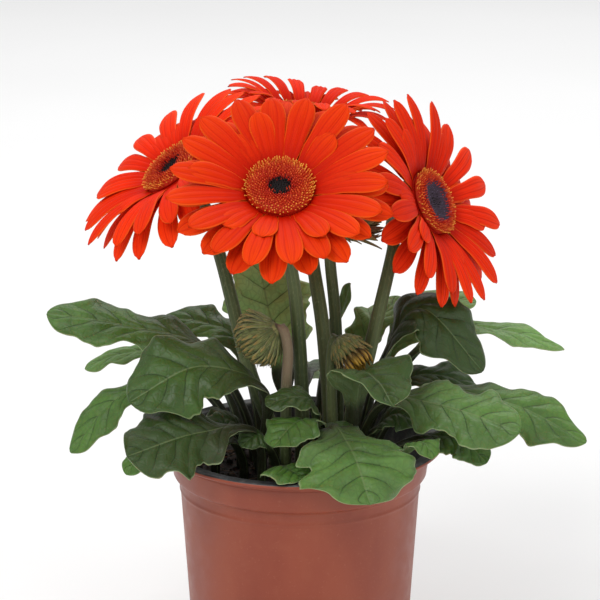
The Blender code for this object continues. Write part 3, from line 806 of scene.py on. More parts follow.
@dataclass
class Pot:
    """A 12 cm pot moulded in two layers, brick red outside and black inside."""

    height: float = 105.0
    lip: float = 60.0
    lip_thick: float = 1.8
    collar_top: float = 55.2
    collar_bottom: float = 53.2
    collar_base: float = 91.0
    collar_slope: float = 0.143
    groove_level: float = 100.6
    step: float = 50.8
    step_base: float = 89.5
    bead_level: float = 84.6
    foot: float = 45.0
    wall_slope: float = 0.0648
    wall: float = 1.4
    floor_rise: float = 2.4
    floor_ring: tuple[float, float] = (11.0, 39.0)
    drains: int = 8
    drain_ring: float = 27.0
    drain_radius: float = 4.0
    drain_sides: int = 32
    segments: int = 192
    sharp_angle: float = 50.0

    def outer(self) -> list[tuple[float, float]]:
        """Lay out the red side of the wall, with its groove and bead.

        Returns:
            The profile from the lip's outer edge down to the middle of the floor.
        """
        under_lip = self.height - self.lip_thick
        hub, rim = self.floor_ring
        groove = swell(lambda z: self.collar_bottom + self.collar_slope * (z - self.collar_base),
                       self.groove_level, 0.3, -0.22, (0.9, 0.4, 0.2, 0.0, -0.2, -0.4, -0.9))
        bead = swell(lambda z: self.foot + self.wall_slope * z, self.bead_level, 0.6, 0.4,
                     (1.8, 1.0, 0.5, 0.0, -0.5, -1.0, -1.8))
        return [*near(self.lip, self.height, (-0.25, -0.5), (0.0, -0.9)),
                *near(self.lip, under_lip, (0.0, 0.4), (-0.4, 0.0)),
                *near(self.collar_top, under_lip, (1.0, 0.0), (0.3, -0.3), (0.0, -1.2)),
                *groove, (54.1, 96.2), (self.collar_bottom + 0.35, 93.2),
                *near(self.collar_bottom, self.collar_base, (0.2, 0.6), (-0.2, -0.1), (-0.9, -0.6)),
                *near(self.step, self.step_base, (0.7, 0.5), (0.15, 0.1), (0.0, -0.7)),
                *bead, (49.0, 62.0), (47.3, 36.0), (45.9, 14.0),
                *near(self.foot, 0.0, (0.15, 2.2), (-0.1, 0.9), (-0.5, 0.25), (-1.0, 0.0)),
                (rim + 1.5, 0.0), (rim, self.floor_rise), (hub, self.floor_rise), (hub - 1.0, 0.0),
                (0.0, 0.0)]

    def inner(self) -> list[tuple[float, float]]:
        """Lay out the black side of the wall.

        Returns:
            The profile from the middle of the floor up to the lip's outer edge.
        """
        hub, rim = self.floor_ring
        raised = self.floor_rise + self.wall
        return [(0.0, self.wall), (hub - 1.7, self.wall), (hub - 0.7, raised), (rim + 0.8, raised),
                (rim + 2.2, self.wall), (self.foot - self.wall, self.wall + 0.3),
                (self.step - self.wall, self.step_base + 0.9), (self.collar_bottom - 1.3, 92.2),
                *near(self.collar_top, self.height, (-1.4, -2.6), (-1.1, -1.2), (-0.5, -0.45), (0.5, -0.1)),
                *near(self.lip, self.height, (-2.2, 0.0), (-1.0, 0.0), (-0.45, -0.2), (-0.25, -0.5))]

    def build(self) -> None:
        """Turn the profile, drill the drains and dress both layers."""
        sheet = Sheet()
        points = [sheet.mesh.verts.new((radius, 0.0, height))
                  for radius, height in self.outer() + self.inner()[:-1]]
        edges = [sheet.mesh.edges.new(pair) for pair in zip(points, points[1:] + points[:1])]
        bmesh.ops.spin(sheet.mesh, geom=points + edges, cent=(0, 0, 0), axis=(0, 0, 1), angle=math.tau,
                       steps=self.segments, use_merge=True)
        bmesh.ops.remove_doubles(sheet.mesh, verts=sheet.mesh.verts[:], dist=1e-4)
        seam = [edge for edge in sheet.mesh.edges if edge.is_wire]
        bmesh.ops.delete(sheet.mesh, geom=seam, context="EDGES")
        for face in sheet.mesh.faces:
            face.smooth = True
            centre = face.calc_center_median()
            face.material_index = int(self.is_black(math.hypot(centre.x, centre.y), centre.z))
        pot = sheet.piece("gerbera_pot", TerracottaPolypropylene(), BlackInnerPolypropylene())
        self.drill(pot)
        pot.data.set_sharp_from_angle(angle=math.radians(self.sharp_angle))
        settle(pot, "pot", "pot")

    def drill(self, pot: bpy.types.Object) -> None:
        """Cut the ring of drain holes through the raised floor.

        Args:
            pot: The turned pot, in metres.
        """
        sheet = Sheet()
        for k in range(self.drains):
            turn = math.tau * (k + 0.5) / self.drains
            place = Matrix.Translation((self.drain_ring * math.cos(turn), self.drain_ring * math.sin(turn),
                                        self.floor_rise))
            bmesh.ops.create_cone(sheet.mesh, cap_ends=True, segments=self.drain_sides,
                                  radius1=self.drain_radius, radius2=self.drain_radius,
                                  depth=3.0 * self.floor_rise, matrix=place)
        cutter = sheet.piece("drain_cutter", BlackInnerPolypropylene())
        cut = pot.modifiers.new("drains", "BOOLEAN")
        cut.object = cutter
        bpy.context.view_layer.update()
        drilled = bpy.data.meshes.new_from_object(pot.evaluated_get(bpy.context.evaluated_depsgraph_get()))
        pot.modifiers.remove(cut)
        pot.data = drilled
        bpy.data.objects.remove(cutter)

    def is_black(self, radius: float, height: float) -> bool:
        """Tell which layer a face belongs to.

        Args:
            radius: The distance of the face's middle from the axis.
            height: Its height.

        Returns:
            Whether it is on the black side of the wall.
        """
        if height > self.height - 0.55:
            return True
        if height < self.wall + 0.1:
            return self.floor_ring[0] - 2 > radius and height > 0.5
        middle = between(((0.0, self.foot - 0.8), (self.step_base, self.step - 0.8),
                          (92.0, self.collar_bottom - 0.8), (self.height, self.collar_top - 0.2)), height)
        return radius < middle and height > self.floor_rise + 0.6


# The soil


@dataclass
class Soil:
    """The bed of moist peat that the stems stand in, with crumbs and fibres on it."""

    top: float = 95.0
    lump: float = 0.9
    edge: float = 48.6
    foot: float = 43.3
    bottom: float = 4.1
    ring_gap: float = 1.9
    rings: int = 26
    sides: int = 96
    crumb_least: float = 0.45
    crumb_more: float = 1.3
    fibre_radius: float = 0.22
    crumbs: int = 900
    fibres: int = 90

    def height(self, x: float, y: float) -> float:
        """Return the height of the soil at a place."""
        lumps = math.sin(0.21 * x + 1.3) * math.sin(0.17 * y + 0.4) + 0.6 * math.sin(0.33 * x - 0.29 * y)
        return self.top + self.lump * lumps - 0.0006 * (x * x + y * y)

    def build(self) -> None:
        """Build the bed and strew it."""
        sheet = Sheet()
        rings = [self.edge - 0.5 - k * self.ring_gap for k in range(self.rings)] + [0.4]
        sheet.turned([(self.foot, self.bottom), (self.edge, 90.0)]
                     + [(radius, 92.0) for radius in rings], self.sides)
        for vert in sheet.mesh.verts:
            if vert.co.z > 90.5:
                x, y = vert.co.x, vert.co.y
                rough = noise.fractal(Vector((x, y, 0.0)) * 0.35, 1.0, 2.0, 4)
                vert.co.z = self.height(x, y) - 0.3 + 0.7 * rough
        self.strew_crumbs(sheet)
        self.lay_fibres(sheet)
        settle(sheet.piece("gerbera_soil", MoistPeat()), "soil", "soil")

    def spot(self, margin: float, seed: int, k: int) -> tuple[float, float, float]:
        """Choose a place on the bed.

        Args:
            margin: How far from the edge it stays.
            seed: The seed.
            k: The crumb's or fibre's number.

        Returns:
            The place and its turn round the pot.
        """
        radius = (self.edge - margin) * math.sqrt(fraction(seed, k))
        turn = math.tau * fraction(seed + 1, k)
        return radius * math.cos(turn), radius * math.sin(turn), turn

    def strew_crumbs(self, sheet: Sheet) -> None:
        """Lay crumbs on the bed, most of them fine.

        Args:
            sheet: The bed.
        """
        for k in range(self.crumbs):
            x, y, turn = self.spot(2.0, 11, k)
            size = self.crumb_least + self.crumb_more * fraction(13, k) ** 3
            place = Matrix.Translation((x, y, self.height(x, y) + 0.1 * size))
            shape = Matrix.Diagonal((size, size * (0.6 + 0.4 * fraction(14, k)), size * 0.7, 1.0))
            turned = Matrix.Rotation(turn * 7.0, 4, Vector((fraction(15, k), fraction(16, k), 1.0)))
            made = bmesh.ops.create_icosphere(sheet.mesh, subdivisions=1, radius=1.0,
                                              matrix=place @ turned @ shape)
            for vert in made["verts"]:
                vert[sheet.tone] = 0.8 * fraction(17, k) ** 4

    def lay_fibres(self, sheet: Sheet) -> None:
        """Lay bowed fibres on the bed.

        Args:
            sheet: The bed.
        """
        for k in range(self.fibres):
            x, y, _ = self.spot(5.0, 21, k)
            lie = math.tau * fraction(23, k)
            reach = 2.0 + 3.0 * fraction(24, k)
            middle = Vector((x, y, self.height(x, y) + 0.7))
            ahead = Vector((math.cos(lie), math.sin(lie), 0.15 * spread(25, k))) * reach
            sheet.tube(Route((middle - ahead, middle + ahead), ahead + UP, ahead).at,
                       lambda share: self.fibre_radius, 4, (0.0, 0.33, 0.66, 1.0), 0.9)


# Leaves

STALK_SHARE = 0.36
STALK_RADIUS = 2.1
STALK_THICK = 3.4
STALK_ROWS = 16
BLADE_ROWS = 78
BLADE_THICK = 0.55
WING_SHARE = 0.24
BLADE_POINTS = 25
LOBES = 3.0
LOBE_DEPTH = 0.38
RIBS = 7.0
RIB_SLANT = 1.5
WAVE = 0.15
PUCKER = 0.075
FRILL = 0.08
GROOVE_DEPTH = 0.5
GROOVE_WIDTH = 1.2


@dataclass(frozen=True)
class Leaf:
    """A leaf on its own stalk.

    Its midrib passes through shoulder, crest and tip. root is the stalk's distance and turn in
    degrees round the crown, tilt is how far the edge nearer -Y hangs, in degrees, and cup is
    how far both edges rise above the midrib, as a share of the half width. Its last number, the
    tone, runs from -1, dark, to 1, pale: partly the leaf's own shade of green, partly painted
    light, with painted shade on leaves deep in the crown and painted light on back leaves that
    stands in for light shining through them.
    """

    name: str
    shoulder: Point
    crest: Point
    tip: Point
    root: tuple[float, float]
    half_width: float
    tilt: float
    cup: float
    seed: int
    # Lightness of the leaf's colour, -1 to 1: partly its own green, partly painted shade deep in the crown
    # and painted light on back leaves.
    age: float = 0.0

    def foot(self) -> tuple[float, float]:
        """Return where the stalk enters the soil."""
        turn = math.radians(self.root[1])
        return self.root[0] * math.cos(turn), self.root[0] * math.sin(turn)

    def outline(self, part: float) -> float:
        """Draw the blade's lobed outline.

        Args:
            part: The share of the blade's length.

        Returns:
            The half width as a share of the greatest.
        """
        body = part ** 0.6 * max(0.0, 1.0 - part ** 3) ** 0.62 / 0.634
        lobe = 0.5 - 0.5 * math.cos(math.tau * (LOBES * part + 0.15 * spread(self.seed, 3)))
        fine = 0.05 * math.sin(math.tau * (5.3 * part + fraction(self.seed, 5)))
        fine += 0.03 * math.sin(math.tau * (11.0 * part + fraction(self.seed, 6)))
        return body * (1.0 - LOBE_DEPTH * (1.0 - 0.6 * part) * lobe) * (1.0 + fine * (1.0 - part ** 4))

    def section(self, centre: Vector, ahead: Vector, heading: Vector, share: float,
                stops: Sequence[float]) -> list[Vector]:
        """Cut the leaf across.

        The stalk is a round core with thin wings that widen into the blade, where the core
        goes on below as the midrib.

        Args:
            centre: The middle of the section.
            ahead: The midrib's direction there.
            heading: The level direction from the root to the tip.
            share: The share of the leaf's length.
            stops: Places across, -1 to 1.

        Returns:
            The closed section, over the upper side and back along the under side.
        """
        part = (share - STALK_SHARE) / (1.0 - STALK_SHARE)
        level = Vector((ahead.x, ahead.y, 0.0)) * 0.8 + heading * 0.5
        side = UP.cross(level).normalized()
        side = (side - ahead * side.dot(ahead)).normalized()
        up = ahead.cross(side)
        grow = min(1.0, max(0.0, part) * 3.0)
        core = STALK_RADIUS * (1.0 - 0.75 * ease(part, 0.0, 0.9))
        wing = WING_SHARE * self.half_width * ease(share, 0.14, STALK_SHARE)
        half = max(core, wing * (1.0 - ease(part, 0.0, 0.5)))
        if part > 0.0:
            half = max(half, self.half_width * self.outline(min(part, 0.9985)))
        angle = math.radians(self.tilt) * grow * (1.0 if side.y >= 0 else -1.0)
        side, up = (side * math.cos(angle) + up * math.sin(angle),
                    up * math.cos(angle) - side * math.sin(angle))
        top, under = [], []
        for stop in stops:
            edge = abs(stop)
            blade = 0.5 * BLADE_THICK * (1.0 - 0.4 * edge)
            round_part = math.sqrt(max(0.0, 1.0 - (edge * half / core) ** 2))
            above = max(blade, 0.5 * STALK_THICK * round_part * (1.0 - grow))
            below = max(blade, core * round_part * (1.0 - 0.3 * grow))
            middle = centre + side * (half * stop) + up * (grow * self.relief(part, stop, half))
            top.append(middle + up * above)
            under.append(middle - up * below)
        return top + under[::-1]

    def relief(self, part: float, stop: float, half: float) -> float:
        """Find how far the blade lies above its plane.

        It cups, waves, swells between its ribs, sinks along its midrib and frills at its rim.

        Args:
            part: The share of the blade's length.
            stop: The place across, -1 to 1.
            half: The half width there.

        Returns:
            The height above the plane.
        """
        edge = abs(stop)
        cup = self.cup * half * edge ** 1.5
        wave = WAVE * half * stop * edge * math.sin(math.tau * (1.6 * max(0.0, part) + self.seed * 0.37))
        lane = abs(math.sin(math.pi * (RIBS * part - RIB_SLANT * edge))) ** 0.7
        swollen = PUCKER * half * lane * ease(edge, 0.0, 0.25) * (1.0 - ease(edge, 0.8, 1.0))
        groove = -GROOVE_DEPTH * math.exp(-(edge * half / GROOVE_WIDTH) ** 2)
        turns = 4.0 * part + 0.5 * edge + self.seed * 0.61
        frill = FRILL * half * ease(edge, 0.45, 1.0) * math.sin(math.tau * turns)
        return cup + wave + swollen + groove + frill

    def build(self) -> None:
        """Build the leaf with its stalk as one closed skin."""
        x, y = self.foot()
        heading = Vector((self.tip[0] - x, self.tip[1] - y, 0.0)).normalized()
        route = Route(((x, y, CROWN_TOP), self.shoulder, self.crest, self.tip), UP,
                      Vector(self.tip) - Vector(self.crest))
        stops = [0.45 * stop + 0.55 * stop ** 3 for stop in stops_across(BLADE_POINTS)]
        parts = [-1.0 + k / STALK_ROWS for k in range(STALK_ROWS)] + shares(BLADE_ROWS)
        sections = [self.section(Vector((x, y, ROOT_DEPTH)), UP, heading, 0.0, stops)]
        for part in parts:
            share = STALK_SHARE + part * (STALK_SHARE if part < 0.0 else 1.0 - STALK_SHARE)
            sections.append(self.section(*route.at(share), heading, share, stops))
        sheet = Sheet()
        sheet.blade(sections, stops, [0.0] + [max(0.0, part) for part in parts], self.age)
        nodes = ("leaf_" + self.name,) if self in LEAVES else ()
        settle(sheet.piece("gerbera_leaf_" + self.name, LeafTissue()), "leaf", *nodes)


# The last number of each leaf paints light and shade: high on back leaves for light shining through them, low
# on leaves in the crown's shade.
LEAVES = (
    Leaf("left_upper", (-40, 8, 141), (-75, 14, 151), (-107, 18, 155), (20, 169), 14.5, 26, -0.14, 1),
    Leaf("left_middle", (-15, -24, 134), (-41, -30, 146), (-69, -40, 134), (21, -140), 20, 36, -0.14, 2,
         -0.5),
    Leaf("left_lower", (-19, -30, 118), (-42, -44, 122), (-69, -58, 117), (31, -120), 19, 34, -0.14, 3, -0.8),
    Leaf("far_left", (-46, 0, 131), (-76, -6, 125), (-96, -12, 103), (25, 190), 11, 24, -0.14, 4, 0.1),
    Leaf("left_under", (-46, -14, 113), (-60, -22, 112), (-72, -28, 99), (37, -162), 10, 20, -0.1, 5),
    Leaf("back_left", (-43, 30, 134), (-76, 42, 130), (-94, 46, 122), (31, 145), 9, 18, -0.1, 6, 0.35),
    Leaf("back_left_high", (-26, 28, 138), (-41, 38, 145), (-60, 46, 145), (25, 133), 11, 24, -0.1, 7, -0.25),
    Leaf("back_upright", (-8, 26, 132), (-14, 36, 154), (-18, 42, 174), (20, 107), 22, 0, 0.1, 8, 1),
    Leaf("front", (13, -32, 120), (21, -52, 117), (28, -70, 101), (31, -65), 26, 0, -0.1, 9, 0.22),
    Leaf("left_inner", (-27, -22, 111), (-34, -26, 116), (-44, -31, 110), (29, -143), 11, 46, -0.1, 27, -0.6),
    Leaf("front_low", (-8, -38, 103), (-6, -48, 109), (2, -56, 107), (37, -103), 14, 0, -0.08, 10, 0.1),
    Leaf("centre_small", (6, -28, 128), (-2, -33, 134), (-14, -37, 132), (25, -73), 9, 20, -0.1, 11, -0.75),
    Leaf("centre_front", (3, -31, 121), (-2, -42, 126), (-11, -52, 119), (28, -85), 12.5, 0, -0.1, 26, -0.2),
    Leaf("young_front", (24, -28, 140), (31, -40, 143), (37, -54, 137), (27, -38), 16, 0, 0.30, 12, -0.6),
    Leaf("right_middle", (34, -20, 127), (57, -31, 130), (89, -42, 122), (26, -22), 17, 30, -0.14, 13, 0.2),
    Leaf("far_right", (52, -4, 126), (87, -10, 124), (119, -16, 109), (31, -4), 14, 26, -0.14, 14, 0.15),
    Leaf("right_under", (50, -14, 110), (66, -22, 112), (77, -28, 104), (37, -16), 11, 24, -0.1, 15, -0.2),
    Leaf("right_small", (43, -34, 111), (50, -45, 118.5), (53, -52, 114), (37, -39), 7.5, 0, -0.08, 16),
    Leaf("right_upper", (38, 3, 147), (52, 2, 161), (76, -8, 137), (26, 8), 15, 34, -0.14, 17, -0.8),
    Leaf("back_right", (46, 28, 147), (60, 36, 155), (76, 41, 154), (28, 35), 11, 22, -0.1, 18, 0.5),
    Leaf("far_right_thin", (56, 18, 145), (87, 22, 146), (113, 25, 137), (31, 24), 9, 14, -0.1, 19, 0.4),
    Leaf("back_right_inner", (28, 28, 142), (36, 36, 150), (44, 44, 155), (24, 52), 12, 0, 0.1, 20, 0.4),
    Leaf("small_upright", (13, 26, 143), (18, 28, 154), (21, 29, 165), (24, 72), 6.5, 0, 0.1, 21, 0.3),
    Leaf("right_dark", (44, 10, 126), (60, 13, 129), (78, 14, 120), (33, 8), 11, 20, -0.1, 22, -0.7),
    Leaf("back_low_left", (-30, 42, 112), (-48, 62, 114), (-58, 78, 100), (37, 126), 15, 0, -0.1, 23),
    Leaf("back_low", (2, 50, 116), (4, 76, 116), (4, 96, 102), (37, 88), 16, 0, -0.1, 24),
    Leaf("back_low_right", (32, 44, 112), (52, 60, 114), (66, 74, 100), (37, 54), 15, 0, -0.1, 25),
)

# Small leaves deep in the crown, given a dark tone as painted shade there.
INNER_LEAVES = (
    Leaf("inner_left", (-24, -13, 113), (-31, -16, 119), (-40, -18, 114), (20, -150), 8, 30, -0.1, 31, -0.8),
    Leaf("inner_front", (10, -19, 114), (14, -25, 120), (22, -31, 116), (15, -58), 7.5, 0, -0.1, 32, -0.8),
    Leaf("inner_right", (32, -12, 114), (40, -15, 121), (50, -17, 117), (24, -20), 9, 24, -0.1, 33, -0.7),
    Leaf("inner_low", (-13, -28, 112), (-17, -32, 118), (-24, -37, 114), (26, -110), 7.5, 20, -0.1, 34, -0.8),
)


# Flower heads


class Stage(Enum):
    """How far a flower head has opened."""

    OPEN = "open"
    HALF_OPEN = "half open"
    OPENING = "opening bud"
    NODDING = "nodding bud"


@dataclass(frozen=True)
class Head:
    """A flower head on its own stem, from the soil to the head.

    rise and droop are the petals' lift at the root and at the tip, in degrees, dark is the disc's
    dark share, width widens the petals, and short counts the short ones.
    """

    name: str
    stage: Stage
    centre: Point
    axis: Point
    root: tuple[float, float]
    route: tuple[Point, ...]
    seed: int
    length: float = 0.0
    rise: float = 0.0
    droop: float = 0.0
    dark: float = 0.3
    width: float = 1.0
    short: int = 8

    def matrix(self) -> Matrix:
        """Return the matrix from the head's own frame to its place."""
        return head_matrix(self.centre, self.axis)


HEAD_SIDES = 48
RING_RADIUS = 14.0
RING_LEVELS = (-3.1, -1.7, -0.3)
ROW_LIFT = 13.0
COLUMNS = 36
CUP = ((0.0, 2.5), (3.0, 5.5), (6.5, 9.5), (10.0, 12.0), (14.0, 12.6))
HALF_OPEN_CUP = ((0.0, 2.3), (3.0, 4.2), (6.5, 5.8), (9.0, 6.0))
NODDING_CUP = ((0.0, 2.3), (2.0, 5.5), (5.0, 9.0), (9.0, 10.2), (13.0, 9.2), (16.0, 6.6), (17.5, 0.4))
OPENING_CUP = ((0.0, 2.0), (2.0, 4.6), (5.0, 6.6), (9.0, 7.0))


@dataclass
class Stem:
    """A downy stem with the cup of bracts that holds a head.

    rows gives each row of bracts: where on the cup they start and end, and how many there are.
    """

    head: Head
    profile: Profile
    radii: tuple[float, float]
    seat: Vector
    rows: Sequence[tuple[float, float, int]]
    bract_half: float
    flare: float = 0.5
    hair: int = 0
    hair_length: float = 1.0
    point_tone: float = 0.0
    brown: float = 0.0
    sides: int = 20
    stations: int = 41
    bract_thick: float = 0.5
    cup_rings: int = 15
    cup_sides: int = 32
    hair_radii: tuple[float, float] = (0.14, 0.03)

    def build(self) -> None:
        """Build the stem, its cup, the bracts and the hairs."""
        head = self.head
        forward = Vector(head.axis).normalized()
        closed = head.stage is Stage.NODDING
        end = self.seat - forward * self.profile[-2 if closed else -1][0]
        knots = ((*head.root, CROWN_TOP), *head.route, tuple(end))
        route = Route(knots, UP, forward)
        low, high = self.radii
        foot = Vector((*head.root, ROOT_DEPTH))

        def way(share: float) -> tuple[Vector, Vector]:
            """Run up through the soil, then along the route."""
            return (foot, UP) if share < 0.0 else route.at(share)

        sheet = Sheet()
        sheet.tube(way, lambda share: low + (high - low) * max(0.0, share), self.sides,
                   [-0.01] + shares(self.stations), self.brown)
        length = self.profile[-1][0]
        cup = [(max(0.3, self.cup_radius(length * share) - 0.35), length * share)
               for share in shares(self.cup_rings)]
        sheet.turned(cup, self.cup_sides, head_matrix(end, head.axis), None, 0.25, 0.0, 1)
        for row, (start, stop, count) in enumerate(self.rows):
            for k in range(count):
                self.add_bract(sheet, end, start, stop, (k + 0.5 * (row % 2)) / count, row, k)
        self.add_hairs(sheet, end)
        settle(sheet.piece("gerbera_stem_" + head.name, StemTissue(), BractTissue()), "stem",
               "scape_" + head.name)

    def cup_radius(self, along: float) -> float:
        """Read the cup's profile.

        Args:
            along: The distance from the end of the stem.

        Returns:
            The cup's radius, which grows slowly past its rim.
        """
        stops = self.profile
        for (x0, y0), (x1, y1) in zip(stops, stops[1:]):
            if along <= x1:
                return y0 + (y1 - y0) * (along - x0) / (x1 - x0)
        return stops[-1][1] + (along - stops[-1][0]) * 0.35

    def add_bract(self, sheet: Sheet, end: Vector, start: float, stop: float, turn: float,
                  row: int, k: int) -> None:
        """Add one pointed bract that lies on the cup and lifts at its point.

        Args:
            sheet: The mesh to add to.
            end: The end of the stem.
            start: How far from the end the bract starts.
            stop: How far from the end it stops.
            turn: Its turn round the cup, as a share.
            row: Its row.
            k: Its number in the row.
        """
        seed = self.head.seed
        out, around, forward = head_frame(self.head.axis, math.tau * (turn + 0.012 * spread(seed, row, k)))
        reach = stop * (1.0 + 0.08 * spread(seed, row + 10, k))
        lift = self.flare * (0.6 + 0.8 * fraction(seed, row + 15, k))

        def path(share: float) -> tuple[Vector, Vector, Vector]:
            """Follow the cup from the bract's start to its point.

            Args:
                share: The share of the bract's length.

            Returns:
                The middle, the direction across and the direction outward.
            """
            along = start + (reach - start) * share
            radius = self.cup_radius(along) + 0.15 + lift * share * share
            slope = (self.cup_radius(along + 0.3) - self.cup_radius(along - 0.3)) / 0.6
            return end + forward * along + out * radius, around, (out - forward * slope).normalized()

        sheet.strap(path, lambda share: self.bract_half * (1.0 - share ** 2.2) ** 0.7 + 0.12,
                    self.bract_thick, 0.25, self.point_tone * fraction(seed, row + 20, k), 1)

    def add_hairs(self, sheet: Sheet, end: Vector) -> None:
        """Add pale hairs that stand out of the cup.

        Args:
            sheet: The mesh to add to.
            end: The end of the stem.
        """
        seed = self.head.seed
        length = self.profile[-1][0]
        for k in range(self.hair):
            along = length * (0.08 + 0.9 * fraction(seed, 31, k))
            out, _, forward = head_frame(self.head.axis, GOLDEN_TURN * k)
            lean = (out + forward * (0.5 + 0.5 * fraction(seed, 32, k))).normalized()
            start = end + forward * along + out * (self.cup_radius(along) + 0.1)
            reach = self.hair_length * (0.6 + 0.9 * fraction(seed, 33, k))
            sheet.spike(start, lean, reach, self.hair_radii, 3)


@dataclass
class Rays:
    """The ray petals of an open head, in two long rows and one short one.

    The plays say how far petals differ: in length as a share, and in degrees.
    """

    head: Head
    finish: RayTissue
    across: int = 13
    stations: int = 18
    thick: float = 0.4
    ridge: float = 0.24
    notch: float = 0.3
    widths: Profile = ((0.0, 2.1), (0.3, 3.9), (0.7, 5.0), (1.0, 5.0))
    blunt_from: float = 0.66
    blunt_length: float = 0.345
    ring: Profile = ((0.5, -2.9), (13.2, -2.9), (13.6, -2.4), (13.6, -0.8), (13.0, -0.35), (0.5, -0.35))
    bend: float = 1.3
    length_play: float = 0.07
    lift_play: float = 4.0
    droop_play: float = 5.0
    yaw_play: float = 2.0
    twist_play: float = 7.0

    def build(self) -> None:
        """Build the ring and draw out every petal."""
        head = self.head
        sheet = Sheet()
        sheet.turned(self.ring, HEAD_SIDES)
        for row in range(2):
            for column in range(row, COLUMNS, 2):
                self.add_petal(sheet, row, column, math.tau * (column + 0.5) / COLUMNS, 1.0, row * ROW_LIFT)
        for k in range(head.short):
            turn = math.tau * (k + 0.35 * spread(head.seed, 61, k)) / head.short
            self.add_petal(sheet, 2, k, turn, 0.5 + 0.3 * fraction(head.seed, 60, k), 1.5 * ROW_LIFT)
        sheet.move(head.matrix())
        settle(sheet.piece("gerbera_rays_" + head.name, self.finish), "petal", "rays_" + head.name)

    def half_width(self, share: float, row: int) -> float:
        """Draw the petal's outline, down to its blunt point.

        Args:
            share: The share of the petal's length.
            row: The petal's row.

        Returns:
            The half width.
        """
        body = between(self.widths, share)
        if share > self.blunt_from:
            body *= max(0.0, 1.0 - ((share - self.blunt_from) / self.blunt_length) ** 2.3) ** 0.58
        return max(0.3, body * self.head.width) * (1.0 - 0.05 * row)

    def add_petal(self, sheet: Sheet, row: int, column: int, turn: float, size: float,
                  lift_more: float) -> None:
        """Add one petal, with its own lift, droop, length and twist.

        Args:
            sheet: The mesh to add to.
            row: The petal's row.
            column: Its number in the row.
            turn: Its direction round the head.
            size: Its length as a share of a full petal.
            lift_more: How much steeper than the first row it stands, in degrees.
        """
        head, seed = self.head, self.head.seed
        length = head.length * size * (1.0 + self.length_play * spread(seed, row, column))
        lift = head.rise + lift_more + self.lift_play * spread(seed, row + 2, column)
        drop = head.droop + lift_more + self.droop_play * spread(seed, row + 4, column)
        yaw = turn + math.radians(self.yaw_play * spread(seed, row + 6, column))
        twist = math.radians(self.twist_play * spread(seed, row + 8, column))
        cup = 0.1 + 0.45 * fraction(seed, row + 40, column)
        inner = min(row, 1)
        radius, height = RING_RADIUS - 0.6, 0.5 * (RING_LEVELS[inner] + RING_LEVELS[inner + 1])
        stops, sections, before = stops_across(self.across), [], 0.0
        for share in shares(self.stations):
            slope = math.radians(lift + (drop - lift) * (0.5 * (before + share)) ** self.bend)
            radius += math.cos(slope) * length * (share - before)
            height += math.sin(slope) * length * (share - before)
            before = share
            pitch = math.radians(lift + (drop - lift) * share ** self.bend)
            frame = (Matrix.Rotation(yaw, 4, "Z") @ Matrix.Translation((radius, 0.0, height))
                     @ Matrix.Rotation(-pitch, 4, "Y") @ Matrix.Rotation(twist * share, 4, "X"))
            sections.append([frame @ point for point in self.section(share, row, cup, stops)])
        sheet.blade(sections, stops, shares(self.stations), 3.0 * fraction(seed, row + 50, column))

    def section(self, share: float, row: int, cup: float, stops: Sequence[float]) -> list[Vector]:
        """Cut a petal across, in a frame whose X runs along it and whose Z is its upper side.

        Args:
            share: The share of its length.
            row: Its row.
            cup: How far its edges hang.
            stops: Places across, -1 to 1.

        Returns:
            The closed section, over the upper side and back along the under side.
        """
        half = self.half_width(share, row)
        fold = ease(share, 0.02, 0.3) * (1.0 - 0.7 * ease(share, 0.75, 1.0))
        top, under = [], []
        for stop in stops:
            edge = abs(stop)
            wave = math.cos(3.0 * math.pi * stop)
            lie = -cup * edge ** 2.2 * fold * (half / 5.0) + self.ridge * wave * fold
            body = 0.5 * self.thick * (1.0 - 0.5 * edge * edge)
            along = self.notch * ease(share, 0.9, 1.0) * (wave - 1.0)
            top.append(Vector((along, half * stop, lie + body)))
            under.append(Vector((along, half * stop, lie - body)))
        return top + under[::-1]


